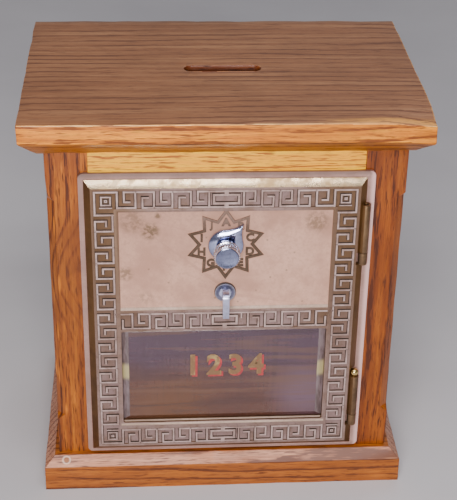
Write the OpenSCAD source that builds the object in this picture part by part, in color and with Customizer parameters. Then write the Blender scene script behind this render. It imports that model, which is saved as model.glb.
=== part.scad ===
// Oak coin bank built round a small metal letter-box door.
// X runs along the width, the door faces -Y, Z is up.
// The origin is the centre of the underside of the base.

/* [Case] */
// Width of the body over both side boards
body_w = 162.2; // [120:0.1:260]
// Depth of the body from the door side to the back
body_d = 109.3; // [80:0.1:220]
// Height of the body between the base and the top
body_h = 163.8; // [134:0.1:260]
// Thickness of the oak side boards and rails
board_t = 19.05; // [14:0.05:26]
// Thickness of the back panel
back_t = 9.5; // [5:0.1:14]
// How far the back panel is let into each side board
rabbet_w = 9.5; // [6:0.1:12]
// Width of each leg of the stopped chamfer on the front corners
chamfer = 3.7; // [1:0.1:6]
// Plain corner left above the chamfer
chamfer_stop_top = 22; // [5:0.5:50]
// Plain corner left below the chamfer
chamfer_stop_bottom = 20; // [5:0.5:50]

/* [Base] */
// How far the base stands out at each side of the body
base_over_side = 7.0; // [5.2:0.1:20]
// How far the base stands out at the front and at the back
base_over_end = 7.2; // [5.2:0.1:20]
// Height of the upright edge of the base
base_edge_h = 13.4; // [8:0.1:25]
// Height of the bevel above that edge
base_bevel_h = 4.2; // [2:0.1:8]
// How far the bevel slopes inwards
base_bevel_in = 4.9; // [2:0.1:5.1]

/* [Top] */
// How far the top stands out at each side of the body
top_over_side = 10.5; // [8:0.1:20]
// How far the top stands out at the front and at the back
top_over_end = 10.1; // [8:0.1:20]
// Height of the upright edge of the top
top_edge_h = 9.4; // [5:0.1:20]
// Height of the bevel under that edge
top_bevel_h = 7.5; // [3:0.1:12]
// How far the bevel under the top slopes inwards
top_bevel_in = 7.7; // [3:0.1:8]
// Length of the coin slot, which runs along the width
slot_l = 35.8; // [26:0.5:60]
// Width of the coin slot
slot_w = 7.0; // [4.2:0.1:8]

/* [Door frame] */
// Gap between the base and the lower edge of the frame
frame_gap = 1.46; // [0.5:0.01:5]
// Rail that shows above the frame
frame_top_margin = 10.3; // [4:0.1:30]
// Thickness of the frame's flange
frame_t = 1.6; // [1.2:0.1:3]
// Corner radius of the flange
frame_corner = 2.4; // [1:0.1:4]
// How far the flange laps the wood on each side
frame_lap = 4.6; // [3:0.1:8]
// Gap between the frame's lip and the wood
lip_clear = 0.8; // [0.3:0.1:1.5]
// Wall thickness of the lip
lip_wall = 2.0; // [1.5:0.1:3]
// Depth of the lip behind the flange
lip_depth = 14; // [12:0.5:18]

/* [Door] */
// Strip of flange that shows left of the door
door_margin_left = 2.4; // [1:0.1:6]
// Strip of flange that shows right of the door
door_margin_right = 3.8; // [3.2:0.1:6]
// Strip of flange that shows above the door
door_margin_top = 2.7; // [1:0.1:6]
// Strip of flange that shows below the door
door_margin_bottom = 2.2; // [1:0.1:6]
// Thickness of the door casting
door_t = 3.3; // [2.6:0.1:5]
// Width of the bevel round the door's face
door_bevel = 3.0; // [1:0.1:3.4]
// Height of the upright edge at the foot of that bevel
door_edge = 0.5; // [0.3:0.1:1]
// Depth of the panels and bands sunk into the face
relief = 0.6; // [0.3:0.1:1]
// Plain strip between the face's edge and the border band
band_in = 1.2; // [0.6:0.1:3]
// Width of the border band
band_w = 9.0; // [6:0.1:11]
// Plain strip between the border band and the panel or window
band_gap = 2.0; // [1:0.1:4]
// Height of the upper panel that carries the dial
panel_h = 51.7; // [44:0.1:80]
// Plain strips above and below the middle band
mid_gap = 1.25; // [0.8:0.05:4]
// Radius of the window's corners
window_corner = 1.0; // [0.5:0.1:4]

/* [Hinges] */
// Radius of the hinge barrels
barrel_r = 2.15; // [1.8:0.05:2.6]
// How far the hinge axis lies inside the door's outer edge
hinge_in = 0.2; // [0:0.05:0.8]
// Length of each frame knuckle
knuckle_l = 6.0; // [4:0.1:9]
// Length of the upper barrel
upper_barrel_l = 30.9; // [20:0.1:34]
// Distance from the face's top edge to the upper barrel
upper_barrel_drop = 9.6; // [4:0.1:15]
// Length of the lower barrel
lower_barrel_l = 28.5; // [20:0.1:34]
// Distance from the face's lower edge to the lower barrel
lower_barrel_rise = 9.7; // [4:0.1:15]
// Radius of the hinge pins
pin_r = 1.1; // [0.8:0.05:1.3]
// Radius of the ball on the lower pin
ball_r = 2.0; // [1.5:0.1:2.6]
// Depth of the upper pin below the barrel's end
pin_sink = 1.5; // [0:0.1:4]

/* [Glass] */
// Thickness of the glass
glass_t = 3.0; // [2:0.1:4]
// How far the glass laps the door behind the window
glass_lap = 2.5; // [1.5:0.1:3]
// Width of the retainer's rim outside the glass
retainer_rim = 4.5; // [4:0.1:6]
// Thickness of the retainer behind the glass
retainer_t = 1.2; // [0.8:0.1:2]

/* [Dial] */
// Distance from the face's top edge to the dial
dial_drop = 29.1; // [24:0.1:40]
// Radius of the knob
knob_r = 6.0; // [4:0.1:8]
// Length of the knob
knob_l = 8.4; // [5:0.1:14]
// Distance from the door's face to the knob's end
knob_reach = 12.8; // [12.6:0.1:24]
// Radius of the pointer's round part
pointer_r = 8.0; // [6:0.1:10]
// Radius that the pointer's tip reaches
pointer_tip = 13.6; // [12.2:0.1:15]
// Radius of the pointer's hollow sides
pointer_hollow = 16; // [10:0.5:30]
// Angle of the pointer, clockwise from straight up
pointer_angle = 36; // [0:1:360]
// Thickness of the pointer
pointer_t = 2.2; // [1.2:0.1:3]
// Radius of the spindle
spindle_r = 2.0; // [1.6:0.1:2.6]
// Radius of the neck between the pointer and the knob
neck_r = 3.5; // [3:0.1:5]

/* [Latch] */
// Distance from the face's top edge to the latch
latch_drop = 54; // [50:0.1:62]
// Radius of the socket's flange
socket_r = 5.0; // [4.5:0.1:6]
// How far that flange stands out from the face
socket_proud = 0.8; // [0.4:0.1:1.5]
// Thickness of the lever's blade
blade_t = 2.9; // [2:0.1:4]
// Distance from the door's face to the blade's front
blade_reach = 10; // [6:0.1:16]
// Height of the blade's front above its axis
blade_up = 2.1; // [1.5:0.1:4]
// Depth of the blade's front below its axis
blade_down = 8.4; // [5:0.1:14]
// Radius of the lever's arbor
arbor_r = 2.75; // [2.2:0.05:3.2]
// Angle that throws the bolt
latch_throw = 75; // [60:1:80]
// Radius of the crank pin's circle
crank_r = 4.0; // [3.2:0.1:4.2]

/* [Lock] */
// Wall thickness of the lock case
case_wall = 1.5; // [1:0.1:2.5]
// Room inside the lock case from front to back
case_room = 14.5; // [14:0.1:18]
// Radius of the wheels
wheel_r = 13; // [11:0.1:15.6]
// Thickness of each wheel
wheel_t = 2.0; // [1.6:0.1:2.4]
// Space between neighbouring wheels
wheel_gap = 1.15; // [1:0.05:1.3]
// Radius of the tube that carries the loose wheels
post_r = 4.0; // [3:0.1:4.5]
// Depth of the gate in each wheel
gate_depth = 5.0; // [4.4:0.1:5.6]
// Radius of the fence bar
fence_r = 1.3; // [1:0.1:1.6]
// Thickness of the bolt
bolt_t = 3.0; // [2:0.1:3.2]
// Height of the bolt's shank
bolt_h = 7.0; // [5:0.1:8]

/* [Clearances] */
// Radial clearance of a shaft that turns in its hole
run_clear = 0.06; // [0.03:0.01:0.1]
// Radial clearance of a pin or screw that is fixed in its hole
fix_clear = 0.03; // [0.01:0.01:0.05]
// Clearance between pieces that slide or pass each other
slide_clear = 0.3; // [0.2:0.05:0.5]
// Gap between the closed door and its frame
door_gap = 0.3; // [0.2:0.05:0.6]

/* [Hidden] */
$fn = 64;
eps = 0.5;

// Heights of the wooden case
base_h = base_edge_h + base_bevel_h;
body_top = base_h + body_h;
top_h = top_edge_h + top_bevel_h;
base_w = body_w + 2 * base_over_side;
base_d = body_d + 2 * base_over_end;
top_w = body_w + 2 * top_over_side;
top_d = body_d + 2 * top_over_end;
opening_w = body_w - 2 * board_t;

// Planes from front to back
body_y = -body_d / 2;
frame_y = body_y - frame_t;
door_back_y = frame_y - door_gap;
face_y = door_back_y - door_t;
rail_back_y = body_y + board_t;
back_y = body_d / 2 - back_t;

// Frame outline, the opening in the wood and the lip that lines it
frame_w = opening_w + 2 * frame_lap;
frame_h = body_h - frame_gap - frame_top_margin;
frame_z = base_h + frame_gap;
opening_z = frame_z + frame_lap;
opening_top = frame_z + frame_h - frame_lap;
lip_x = opening_w / 2 - lip_clear;
lip_in_x = lip_x - lip_wall;
lip_z = opening_z + lip_clear;
lip_top = opening_top - lip_clear;
lip_y = body_y + lip_depth;

// Door outline at its back edge and at its face
door_left = -frame_w / 2 + door_margin_left;
door_right = frame_w / 2 - door_margin_right;
door_low = frame_z + door_margin_bottom;
door_high = frame_z + frame_h - door_margin_top;
door_x = (door_left + door_right) / 2;
face_left = door_left + door_bevel;
face_right = door_right - door_bevel;
face_low = door_low + door_bevel;
face_high = door_high - door_bevel;

// Bands, panel and window on the face
band_edge = band_in + band_w;
inner_left = face_left + band_edge + band_gap;
inner_right = face_right - band_edge - band_gap;
inner_w = inner_right - inner_left;
inner_x = (inner_left + inner_right) / 2;
panel_top = face_high - band_edge - 1.6;
panel_low = panel_top - panel_h;
mid_top = panel_low - mid_gap;
mid_low = mid_top - band_w;
window_top = mid_low - mid_gap;
window_low = face_low + band_edge + 3.8;
window_h = window_top - window_low;
window_z = (window_top + window_low) / 2;

// Hinges
hinge_x = door_right - hinge_in;
hinge_y = frame_y - barrel_r - slide_clear;
upper_top = face_high - upper_barrel_drop;
upper_split = upper_top - upper_barrel_l + knuckle_l;
lower_low = face_low + lower_barrel_rise;
lower_top = lower_low + lower_barrel_l;
lower_split = lower_low + knuckle_l;
arm_half = 0.75 * barrel_r;
notch_r = norm([arm_half, barrel_r + slide_clear]) + 0.5;

// Dial and latch axes, both in the middle of the door
dial_z = face_high - dial_drop;
latch_z = face_high - latch_drop;
pointer_y = face_y - slide_clear - pointer_t;
knob_y = face_y - knob_reach;
knob_back_y = knob_y + knob_l;

// Lock case on the back of the door
case_y = door_back_y + case_wall;
case_back_y = case_y + case_room;
case_half = wheel_r + 14;
case_left = door_x - case_half;
case_right = door_x + case_half;
case_top = dial_z + wheel_r + 3.2 + case_wall;
case_low = latch_z - 13.4;
corner_in = 3.6;
corner_r = 3.2;

// Wheels along the spindle, front to back
wheel_1_y = case_y + 1.0;
wheel_2_y = wheel_1_y + wheel_t + wheel_gap;
wheel_3_y = wheel_2_y + wheel_t + wheel_gap;
wheel_end_y = wheel_3_y + wheel_t;
spacer_gap = 0.15;
spacer_r = 7;
fly_r = 0.8;
fly_at = 0.73 * wheel_r;
nut_t = 2.0;
stud_r = spindle_r - 0.5;

// Fence lever beside the wheels
fence_gap = 0.6;
fence_off = wheel_r + fence_gap + fence_r;
fence_rise = 0.45;
fence_x = door_x + fence_off;
fence_z = dial_z + fence_rise;
pivot_x = fence_x + 4.1;
pivot_z = fence_z - 22.8;
pivot_r = 1.5;
lever_y = wheel_end_y + 0.65;
lever_t = 1.8;
tail_x = door_x + 9.2;
tail_z = latch_z;
gate_half = fence_r + fence_rise + 0.35;

// Cam and bolt
cam_y = case_y + 0.6;
cam_t = 3.0;
cam_r = 6.5;
cam_bore_r = arbor_r - 0.95;
crank_pin_r = 1.2;
crank_x = door_x + crank_r * sin(latch_throw / 2);
crank_z = latch_z + crank_r * cos(latch_throw / 2);
bolt_throw = 2 * crank_r * sin(latch_throw / 2);
bolt_y = cam_y + cam_t + slide_clear;
bolt_z = latch_z - 1;
swing_clear = 1.45;
bolt_tip_x = -lip_in_x + swing_clear;
yoke_half = crank_pin_r + 0.15 + 2.2;
yoke_low = latch_z - 2.5;
yoke_top = latch_z + crank_r + crank_pin_r + slide_clear + 2;
guide_w = 5;
guide_x = bolt_tip_x + 4.5;
guide_wall = 3.5;
guide_back = 1.5;
guide_foot = 6;

// Fasteners
wood_r = 1.7;
wood_head_r = 3.6;
wood_l = base_h + 12;
back_screw_l = back_t + 12;
brass_head_r = 3.0;
brass_head_h = 1.6;
small_r = 1.1;
small_head_r = 2.1;
small_head_h = 1.1;
door_hole = door_t - relief - 0.5;
lip_screw_l = lip_wall + lip_clear + 10;
dowel_r = 4;
dowel_l = 24;
dowel_into_top = 10;

side_x = (body_w - board_t) / 2;
board_y = body_d / 2 - 22;
side_points = [for (x = [-side_x, side_x], y = [-board_y, board_y]) [x, y]];
rabbet_x = opening_w / 2 + rabbet_w / 2;
back_points = [for (x = [-rabbet_x, rabbet_x], f = [0.12, 0.5, 0.88]) [x, base_h + f * body_h]];
lip_screw_y = body_y + 9;
lip_screw_z = [opening_z + 12, opening_top - 12];
case_points = [for (x = [case_left + corner_in, case_right - corner_in],
                    z = [case_low + corner_in, case_top - corner_in]) [x, z]];
retainer_half_w = inner_w / 2 + glass_lap + retainer_rim;
retainer_half_h = window_h / 2 + glass_lap + retainer_rim;
retainer_points = [for (sx = [-1, 1], sz = [-1, 1])
    [inner_x + sx * (retainer_half_w - retainer_rim / 2),
     window_z + sz * (retainer_half_h - retainer_rim / 2)]];
guide_points = [for (s = [-1, 1]) [guide_x + guide_w / 2,
    bolt_z + bolt_h / 2 + s * (bolt_h / 2 + guide_wall + guide_foot / 2)]];

oak = "peru";
oak_dark = "sienna";
paint = "rosybrown";
brass = "goldenrod";
steel = "silver";
dark = "dimgray";

// ---- Shared shapes ----

// A box between two corners
module block(a, b) {
    translate(a) cube(b - a);
}

// A flat shape drawn in X and Z, filled from y0 back to y1
module slab(y0, y1) {
    translate([0, y1, 0]) rotate([90, 0, 0]) linear_extrude(y1 - y0) children();
}

// A round bar along Y
module rod(x, z, r, y0, y1) {
    translate([x, y0, z]) rotate([-90, 0, 0]) cylinder(r = r, h = y1 - y0);
}

// A rectangle with round corners, drawn round a centre
module round_rect(c, w, h, r) {
    translate(c) {
        square([w - 2 * r, h], center = true);
        square([w, h - 2 * r], center = true);
        for (x = [-1, 1], y = [-1, 1])
            translate([x * (w / 2 - r), y * (h / 2 - r)]) circle(r);
    }
}

// A flat bar with round ends from p to q
module link_2d(p, q, r) {
    d = q - p;
    translate(p) circle(r);
    translate(q) circle(r);
    translate(p) rotate(atan2(d[1], d[0])) translate([0, -r]) square([norm(d), 2 * r]);
}

// A screw that points down, with the underside of its head at height 0
module screw(r, l, head_r, head_h) {
    tip = 1.5 * r;
    difference() {
        union() {
            cylinder(r = head_r, h = 0.55 * head_h);
            translate([0, 0, 0.55 * head_h]) cylinder(r1 = head_r, r2 = 0.7 * head_r, h = 0.45 * head_h);
            translate([0, 0, tip - l]) cylinder(r = r, h = l - tip + 0.1);
            translate([0, 0, -l]) cylinder(r1 = 0.3 * r, r2 = r, h = tip);
        }
        translate([-head_r - eps, -0.25, 0.5 * head_h]) cube([2 * (head_r + eps), 0.5, head_h]);
    }
}

// A countersunk screw that points up, with the face of its head at height 0
module flat_screw(r, l, head_r) {
    tip = 1.5 * r;
    sink = head_r - r;
    difference() {
        union() {
            cylinder(r1 = head_r, r2 = r, h = sink);
            translate([0, 0, sink - 0.1]) cylinder(r = r, h = l - tip - sink + 0.1);
            translate([0, 0, l - tip]) cylinder(r1 = r, r2 = 0.3 * r, h = tip);
        }
        translate([-head_r - eps, -0.4, -eps]) cube([2 * (head_r + eps), 0.8, eps + 0.9]);
    }
}

// The hole that a straight screw of this length leaves, pointing down
module screw_hole(r, l) {
    translate([0, 0, -l - slide_clear]) cylinder(r = r + fix_clear, h = l + slide_clear + eps);
}

// ---- Wooden case ----

// A board whose edge slopes in at one end, seen in section as half-width against height
module bevelled_board(w, d, low_in, z1, z2, high_in, z3) {
    intersection() {
        translate([0, d / 2 + eps, 0]) rotate([90, 0, 0]) linear_extrude(d + 2 * eps)
            polygon([[-w / 2 + low_in, 0], [w / 2 - low_in, 0], [w / 2, z1], [w / 2, z2],
                [w / 2 - high_in, z3], [-w / 2 + high_in, z3], [-w / 2, z2], [-w / 2, z1]]);
        translate([-w / 2 - eps, 0, 0]) rotate([90, 0, 90]) linear_extrude(w + 2 * eps)
            polygon([[-d / 2 + low_in, 0], [d / 2 - low_in, 0], [d / 2, z1], [d / 2, z2],
                [d / 2 - high_in, z3], [-d / 2 + high_in, z3], [-d / 2, z2], [-d / 2, z1]]);
    }
}

module base_board() {
    color(oak) difference() {
        bevelled_board(base_w, base_d, 0, base_edge_h / 2, base_edge_h, base_bevel_in, base_h);
        for (p = side_points) translate([p[0], p[1], 0]) {
            translate([0, 0, -eps]) cylinder(r = wood_r + fix_clear, h = base_h + 2 * eps);
            translate([0, 0, -eps]) cylinder(r1 = wood_head_r + fix_clear + 2 * eps,
                r2 = wood_r, h = wood_head_r - wood_r + fix_clear + 2 * eps);
        }
    }
}

module top_board() {
    color(oak) difference() {
        translate([0, 0, body_top])
            bevelled_board(top_w, top_d, top_bevel_in, top_bevel_h,
                top_bevel_h + top_edge_h / 2, 0, top_h);
        translate([0, 0, body_top - eps]) linear_extrude(top_h + 2 * eps)
            link_2d([-(slot_l - slot_w) / 2, 0], [(slot_l - slot_w) / 2, 0], slot_w / 2);
        for (p = side_points) translate([p[0], p[1], body_top - eps])
            cylinder(r = dowel_r + fix_clear, h = dowel_into_top + slide_clear + eps);
    }
}

// Removes the stopped chamfer from the front corner at x = 0, y = 0 of a board that lies on its -X side
module chamfer_cut() {
    slope = chamfer / sqrt(2);
    far = chamfer * 2;
    low = base_h + chamfer_stop_bottom;
    high = body_top - chamfer_stop_top;
    rotate([0, 0, -45]) translate([-slope, far, 0]) rotate([90, 0, 0]) linear_extrude(2 * far)
        polygon([[0, low + slope], [far, low + slope - far], [far, high - slope + far],
            [0, high - slope]]);
}

// The right-hand side board; the left one is its mirror image
module side_board() {
    difference() {
        block([opening_w / 2, body_y, base_h], [body_w / 2, body_d / 2, body_top]);
        block([opening_w / 2 - eps, back_y, base_h - eps],
            [opening_w / 2 + rabbet_w, body_d / 2 + eps, body_top + eps]);
        translate([body_w / 2, body_y, 0]) chamfer_cut();
        for (s = [-1, 1]) {
            translate([side_x, s * board_y, base_h - eps])
                cylinder(r = wood_r + fix_clear, h = wood_l - base_h + slide_clear + eps);
            translate([side_x, s * board_y, body_top + dowel_into_top - dowel_l - slide_clear])
                cylinder(r = dowel_r + fix_clear, h = dowel_l);
        }
        for (p = back_points) if (p[0] > 0) translate([p[0], body_d / 2, p[1]])
            rotate([-90, 0, 0]) screw_hole(wood_r, back_screw_l);
        for (z = lip_screw_z) translate([lip_in_x, lip_screw_y, z])
            rotate([0, -90, 0]) screw_hole(small_r, lip_screw_l);
    }
}

module right_side() {
    color(oak) side_board();
}

module left_side() {
    color(oak) difference() {
        mirror([1, 0, 0]) side_board();
        block([bolt_tip_x - bolt_throw - 2 * slide_clear, bolt_y - slide_clear, bolt_z - slide_clear],
            [-opening_w / 2 + eps, bolt_y + bolt_t + slide_clear, bolt_z + bolt_h + slide_clear]);
    }
}

module top_rail() {
    color(oak) block([-opening_w / 2, body_y, opening_top], [opening_w / 2, rail_back_y, body_top]);
}

module bottom_rail() {
    color(oak) block([-opening_w / 2, body_y, base_h], [opening_w / 2, rail_back_y, opening_z]);
}

module back_panel() {
    half = opening_w / 2 + rabbet_w - slide_clear;
    color(oak_dark) difference() {
        block([-half, back_y, base_h], [half, body_d / 2, body_top]);
        for (p = back_points) translate([p[0], body_d / 2, p[1]])
            rotate([-90, 0, 0]) screw_hole(wood_r, back_screw_l);
    }
}

module top_dowels() {
    color(oak_dark) for (p = side_points)
        translate([p[0], p[1], body_top + dowel_into_top - dowel_l + slide_clear])
            cylinder(r = dowel_r, h = dowel_l - slide_clear);
}

module base_screws() {
    color(steel) for (p = side_points) translate([p[0], p[1], 0.4])
        flat_screw(wood_r, wood_l - 0.4, wood_head_r - 0.4);
}

module back_screws() {
    color(brass) for (p = back_points) translate([p[0], body_d / 2, p[1]])
        rotate([-90, 0, 0]) screw(wood_r, back_screw_l, brass_head_r, brass_head_h);
}

// ---- Door frame ----

// A frame knuckle with the arm that carries it
module frame_knuckle(z0, z1) {
    difference() {
        union() {
            translate([hinge_x, hinge_y, z0]) cylinder(r = barrel_r, h = z1 - z0);
            block([hinge_x - arm_half, hinge_y, z0], [hinge_x + arm_half, frame_y + 0.1, z1]);
        }
        translate([hinge_x, hinge_y, z0 - eps]) cylinder(r = pin_r + fix_clear, h = z1 - z0 + 2 * eps);
    }
}

module door_frame() {
    color(paint) {
        difference() {
            union() {
                slab(frame_y, body_y)
                    round_rect([0, frame_z + frame_h / 2], frame_w, frame_h, frame_corner);
                block([-lip_x, body_y - 0.1, lip_z], [lip_x, lip_y, lip_top]);
            }
            block([-lip_in_x, frame_y - eps, lip_z + lip_wall],
                [lip_in_x, lip_y + eps, lip_top - lip_wall]);
            block([-lip_x - eps, bolt_y - slide_clear, bolt_z - slide_clear],
                [-lip_in_x + eps, bolt_y + bolt_t + slide_clear, bolt_z + bolt_h + slide_clear]);
            for (s = [0, 1], z = lip_screw_z) mirror([s, 0, 0]) translate([lip_in_x, lip_screw_y, z])
                rotate([0, -90, 0]) screw_hole(small_r, lip_screw_l);
        }
        frame_knuckle(upper_top - upper_barrel_l, upper_split);
        frame_knuckle(lower_low, lower_split);
    }
}

module frame_screws() {
    color(brass) for (s = [0, 1], z = lip_screw_z) mirror([s, 0, 0])
        translate([lip_in_x, lip_screw_y, z]) rotate([0, -90, 0])
            screw(small_r, lip_screw_l, small_head_r, small_head_h);
}

module upper_hinge_pin() {
    color(steel) translate([hinge_x, hinge_y, upper_top - upper_barrel_l])
        cylinder(r = pin_r, h = upper_barrel_l - pin_sink);
}

module lower_hinge_pin() {
    seat = lower_top + slide_clear;
    color(brass) {
        translate([hinge_x, hinge_y, lower_low]) cylinder(r = pin_r, h = seat - lower_low + 0.5);
        intersection() {
            translate([hinge_x, hinge_y, seat + 0.8 * ball_r]) sphere(ball_r);
            translate([hinge_x - ball_r, hinge_y - ball_r, seat]) cube(2 * ball_r);
        }
    }
}

// ---- Door ----

// The door's plate with its bevelled rim
module door_plate() {
    y1 = door_back_y - door_edge;
    intersection() {
        translate([0, 0, door_low - eps]) linear_extrude(door_high - door_low + 2 * eps)
            polygon([[door_left, door_back_y], [door_left, y1], [face_left, face_y],
                [face_right, face_y], [door_right, y1], [door_right, door_back_y]]);
        translate([door_left - eps, 0, 0]) rotate([90, 0, 90])
            linear_extrude(door_right - door_left + 2 * eps)
                polygon([[door_back_y, door_low], [y1, door_low], [face_y, face_low],
                    [face_y, face_high], [y1, door_high], [door_back_y, door_high]]);
    }
}

// The sunk border band round the face and the sunk band between panel and window
module bands() {
    difference() {
        translate([face_left + band_in, face_low + band_in])
            square([face_right - face_left - 2 * band_in, face_high - face_low - 2 * band_in]);
        translate([face_left + band_edge, face_low + band_edge])
            square([face_right - face_left - 2 * band_edge, face_high - face_low - 2 * band_edge]);
    }
    translate([inner_left, mid_low]) square([inner_w, band_w]);
}

// Room for a frame knuckle at the door's edge
module knuckle_notch(z0, z1) {
    translate([hinge_x, hinge_y, z0 - slide_clear]) cylinder(r = notch_r, h = z1 - z0 + 2 * slide_clear);
}

module door_panel() {
    color(paint) difference() {
        union() {
            difference() {
                door_plate();
                knuckle_notch(upper_top - upper_barrel_l, upper_split - slide_clear);
                knuckle_notch(lower_low, lower_split - slide_clear);
                translate([hinge_x, hinge_y, lower_top])
                    cylinder(r = ball_r + slide_clear, h = 1.8 * ball_r + 2 * slide_clear);
            }
            translate([hinge_x, hinge_y, upper_split + slide_clear])
                cylinder(r = barrel_r, h = upper_top - upper_split - slide_clear);
            translate([hinge_x, hinge_y, lower_split + slide_clear])
                cylinder(r = barrel_r, h = lower_top - lower_split - slide_clear);
        }
        slab(face_y - eps, face_y + relief) bands();
        slab(face_y - eps, face_y + relief)
            translate([inner_left, panel_low]) square([inner_w, panel_h]);
        slab(face_y - eps, door_back_y + eps)
            round_rect([inner_x, window_z], inner_w, window_h, window_corner);
        for (z = [[upper_split, upper_top], [lower_split, lower_top]])
            translate([hinge_x, hinge_y, z[0]]) cylinder(r = pin_r + run_clear, h = z[1] - z[0] + eps);
        rod(door_x, dial_z, spindle_r + run_clear, face_y - eps, door_back_y + eps);
        rod(door_x, latch_z, socket_r - 1 + fix_clear, face_y - eps, door_back_y + eps);
        for (p = concat(case_points, retainer_points, guide_points))
            rod(p[0], p[1], small_r + fix_clear, door_back_y - door_hole, door_back_y + eps);
    }
}

module glass_pane() {
    color("lightsteelblue", 0.5) slab(door_back_y, door_back_y + glass_t)
        translate([inner_x, window_z])
            square([inner_w + 2 * glass_lap, window_h + 2 * glass_lap], center = true);
}

module glass_retainer() {
    y1 = door_back_y + glass_t + slide_clear;
    color(brass) difference() {
        slab(door_back_y, y1 + retainer_t)
            round_rect([inner_x, window_z], 2 * retainer_half_w, 2 * retainer_half_h, 1.5);
        slab(door_back_y - eps, y1) translate([inner_x, window_z])
            square([inner_w + 2 * (glass_lap + slide_clear), window_h + 2 * (glass_lap + slide_clear)],
                center = true);
        slab(y1 - eps, y1 + retainer_t + eps)
            translate([inner_x, window_z]) square([inner_w, window_h], center = true);
        for (p = retainer_points)
            rod(p[0], p[1], small_r + fix_clear, door_back_y - eps, y1 + retainer_t + eps);
    }
}

module retainer_screws() {
    l = glass_t + slide_clear + retainer_t + door_hole - slide_clear;
    color(steel) for (p = retainer_points)
        translate([p[0], door_back_y + glass_t + slide_clear + retainer_t, p[1]])
            rotate([-90, 0, 0]) screw(small_r, l, small_head_r - 0.2, small_head_h);
}

// ---- Dial ----

// The pointer's outline: a disc that runs into a tip through two hollow sides
module pointer_2d() {
    reach = pointer_r + pointer_hollow;
    cz = (reach * reach - pointer_hollow * pointer_hollow + pointer_tip * pointer_tip) / (2 * pointer_tip);
    cx = sqrt(reach * reach - cz * cz);
    root = [cx, cz] * pointer_r / reach;
    circle(pointer_r);
    difference() {
        polygon([[-root[0], root[1]], [0, pointer_tip], root, [0, 0]]);
        for (s = [-1, 1]) translate([s * cx, cz]) circle(pointer_hollow);
    }
}

module dial_pointer() {
    plate = 1;
    rim = 0.4;
    crown = pointer_t - plate;
    y1 = pointer_y + pointer_t;
    color(steel) difference() {
        union() {
            slab(y1 - plate, y1) translate([door_x, dial_z]) rotate(-pointer_angle) pointer_2d();
            translate([door_x, y1 - plate + 0.2, dial_z]) rotate([90, 0, 0])
                cylinder(r1 = pointer_r - rim, r2 = neck_r + rim, h = crown + 0.2);
        }
        rod(door_x, dial_z, spindle_r + fix_clear, pointer_y - eps, y1 + eps);
    }
}

module dial_knob() {
    edge = 0.8;
    color(steel) difference() {
        union() {
            translate([door_x, knob_y, dial_z]) rotate([-90, 0, 0])
                cylinder(r1 = knob_r - edge, r2 = knob_r, h = edge);
            rod(door_x, dial_z, knob_r, knob_y + edge, knob_back_y);
        }
        rod(door_x, dial_z, spindle_r + fix_clear, knob_y + 2, knob_back_y + eps);
    }
}

module dial_spindle() {
    color(dark) {
        rod(door_x, dial_z, spindle_r, knob_y + 2 + slide_clear, wheel_3_y);
        rod(door_x, dial_z, neck_r, knob_back_y, pointer_y);
        rod(door_x, dial_z, stud_r, wheel_3_y - 0.1, wheel_end_y + nut_t + 0.6);
    }
}

module spindle_nut() {
    color(brass) difference() {
        slab(wheel_end_y, wheel_end_y + nut_t) translate([door_x, dial_z]) circle(3.2, $fn = 6);
        rod(door_x, dial_z, stud_r + fix_clear, wheel_end_y - eps, wheel_end_y + nut_t + eps);
    }
}

// ---- Wheels ----

// A wheel with its gate towards +X, its bore, and fly pins given as [angle, front or back]
module wheel(y0, bore, flies) {
    fly_l = wheel_gap - 0.25;
    difference() {
        rod(door_x, dial_z, wheel_r, y0, y0 + wheel_t);
        rod(door_x, dial_z, bore, y0 - eps, y0 + wheel_t + eps);
        block([door_x + wheel_r - gate_depth, y0 - eps, dial_z - gate_half],
            [door_x + wheel_r + eps, y0 + wheel_t + eps, dial_z + gate_half]);
    }
    for (f = flies) {
        x = door_x + fly_at * cos(f[0]);
        z = dial_z + fly_at * sin(f[0]);
        if (f[1] == "front") rod(x, z, fly_r, y0 - fly_l, y0 + 0.5);
        if (f[1] == "back") rod(x, z, fly_r, y0 + wheel_t - 0.5, y0 + wheel_t + fly_l);
    }
}

module front_tumbler() {
    color(brass) wheel(wheel_1_y, post_r + run_clear, [[150, "back"]]);
}

module rear_tumbler() {
    color(brass) wheel(wheel_2_y, post_r + run_clear, [[175, "front"], [210, "back"]]);
}

module drive_wheel() {
    color(brass) wheel(wheel_3_y, stud_r + fix_clear, [[235, "front"]]);
}

module wheel_spacers() {
    color(dark) for (y = [wheel_1_y, wheel_2_y]) difference() {
        rod(door_x, dial_z, spacer_r, y + wheel_t + spacer_gap, y + wheel_t + wheel_gap - spacer_gap);
        rod(door_x, dial_z, post_r + fix_clear, y + wheel_t - eps, y + wheel_t + wheel_gap + eps);
    }
}

// ---- Latch ----

module latch_socket() {
    color(dark) difference() {
        union() {
            rod(door_x, latch_z, socket_r, face_y - socket_proud, face_y + relief);
            rod(door_x, latch_z, socket_r - 1, face_y + relief - 0.1, door_back_y);
        }
        rod(door_x, latch_z, arbor_r + run_clear, face_y - socket_proud - eps, door_back_y + eps);
    }
}

module latch_lever() {
    root_y = face_y - socket_proud - slide_clear;
    front_y = face_y - blade_reach;
    nose = 2.4;
    color(steel) {
        translate([door_x - blade_t / 2, 0, 0]) rotate([90, 0, 90]) linear_extrude(blade_t) {
            polygon([[root_y, latch_z - arbor_r], [root_y, latch_z + arbor_r],
                [front_y + nose, latch_z + blade_up], [front_y, latch_z + blade_up - nose],
                [front_y, latch_z - blade_down], [front_y + 1.6, latch_z - blade_down],
                [front_y + 4.4, latch_z - arbor_r - 0.6]]);
            translate([front_y + nose, latch_z + blade_up - nose]) circle(nose);
        }
        rod(door_x, latch_z, arbor_r, root_y, cam_y);
        rod(door_x, latch_z, cam_bore_r, cam_y - 0.1, cam_y + cam_t);
    }
}

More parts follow.
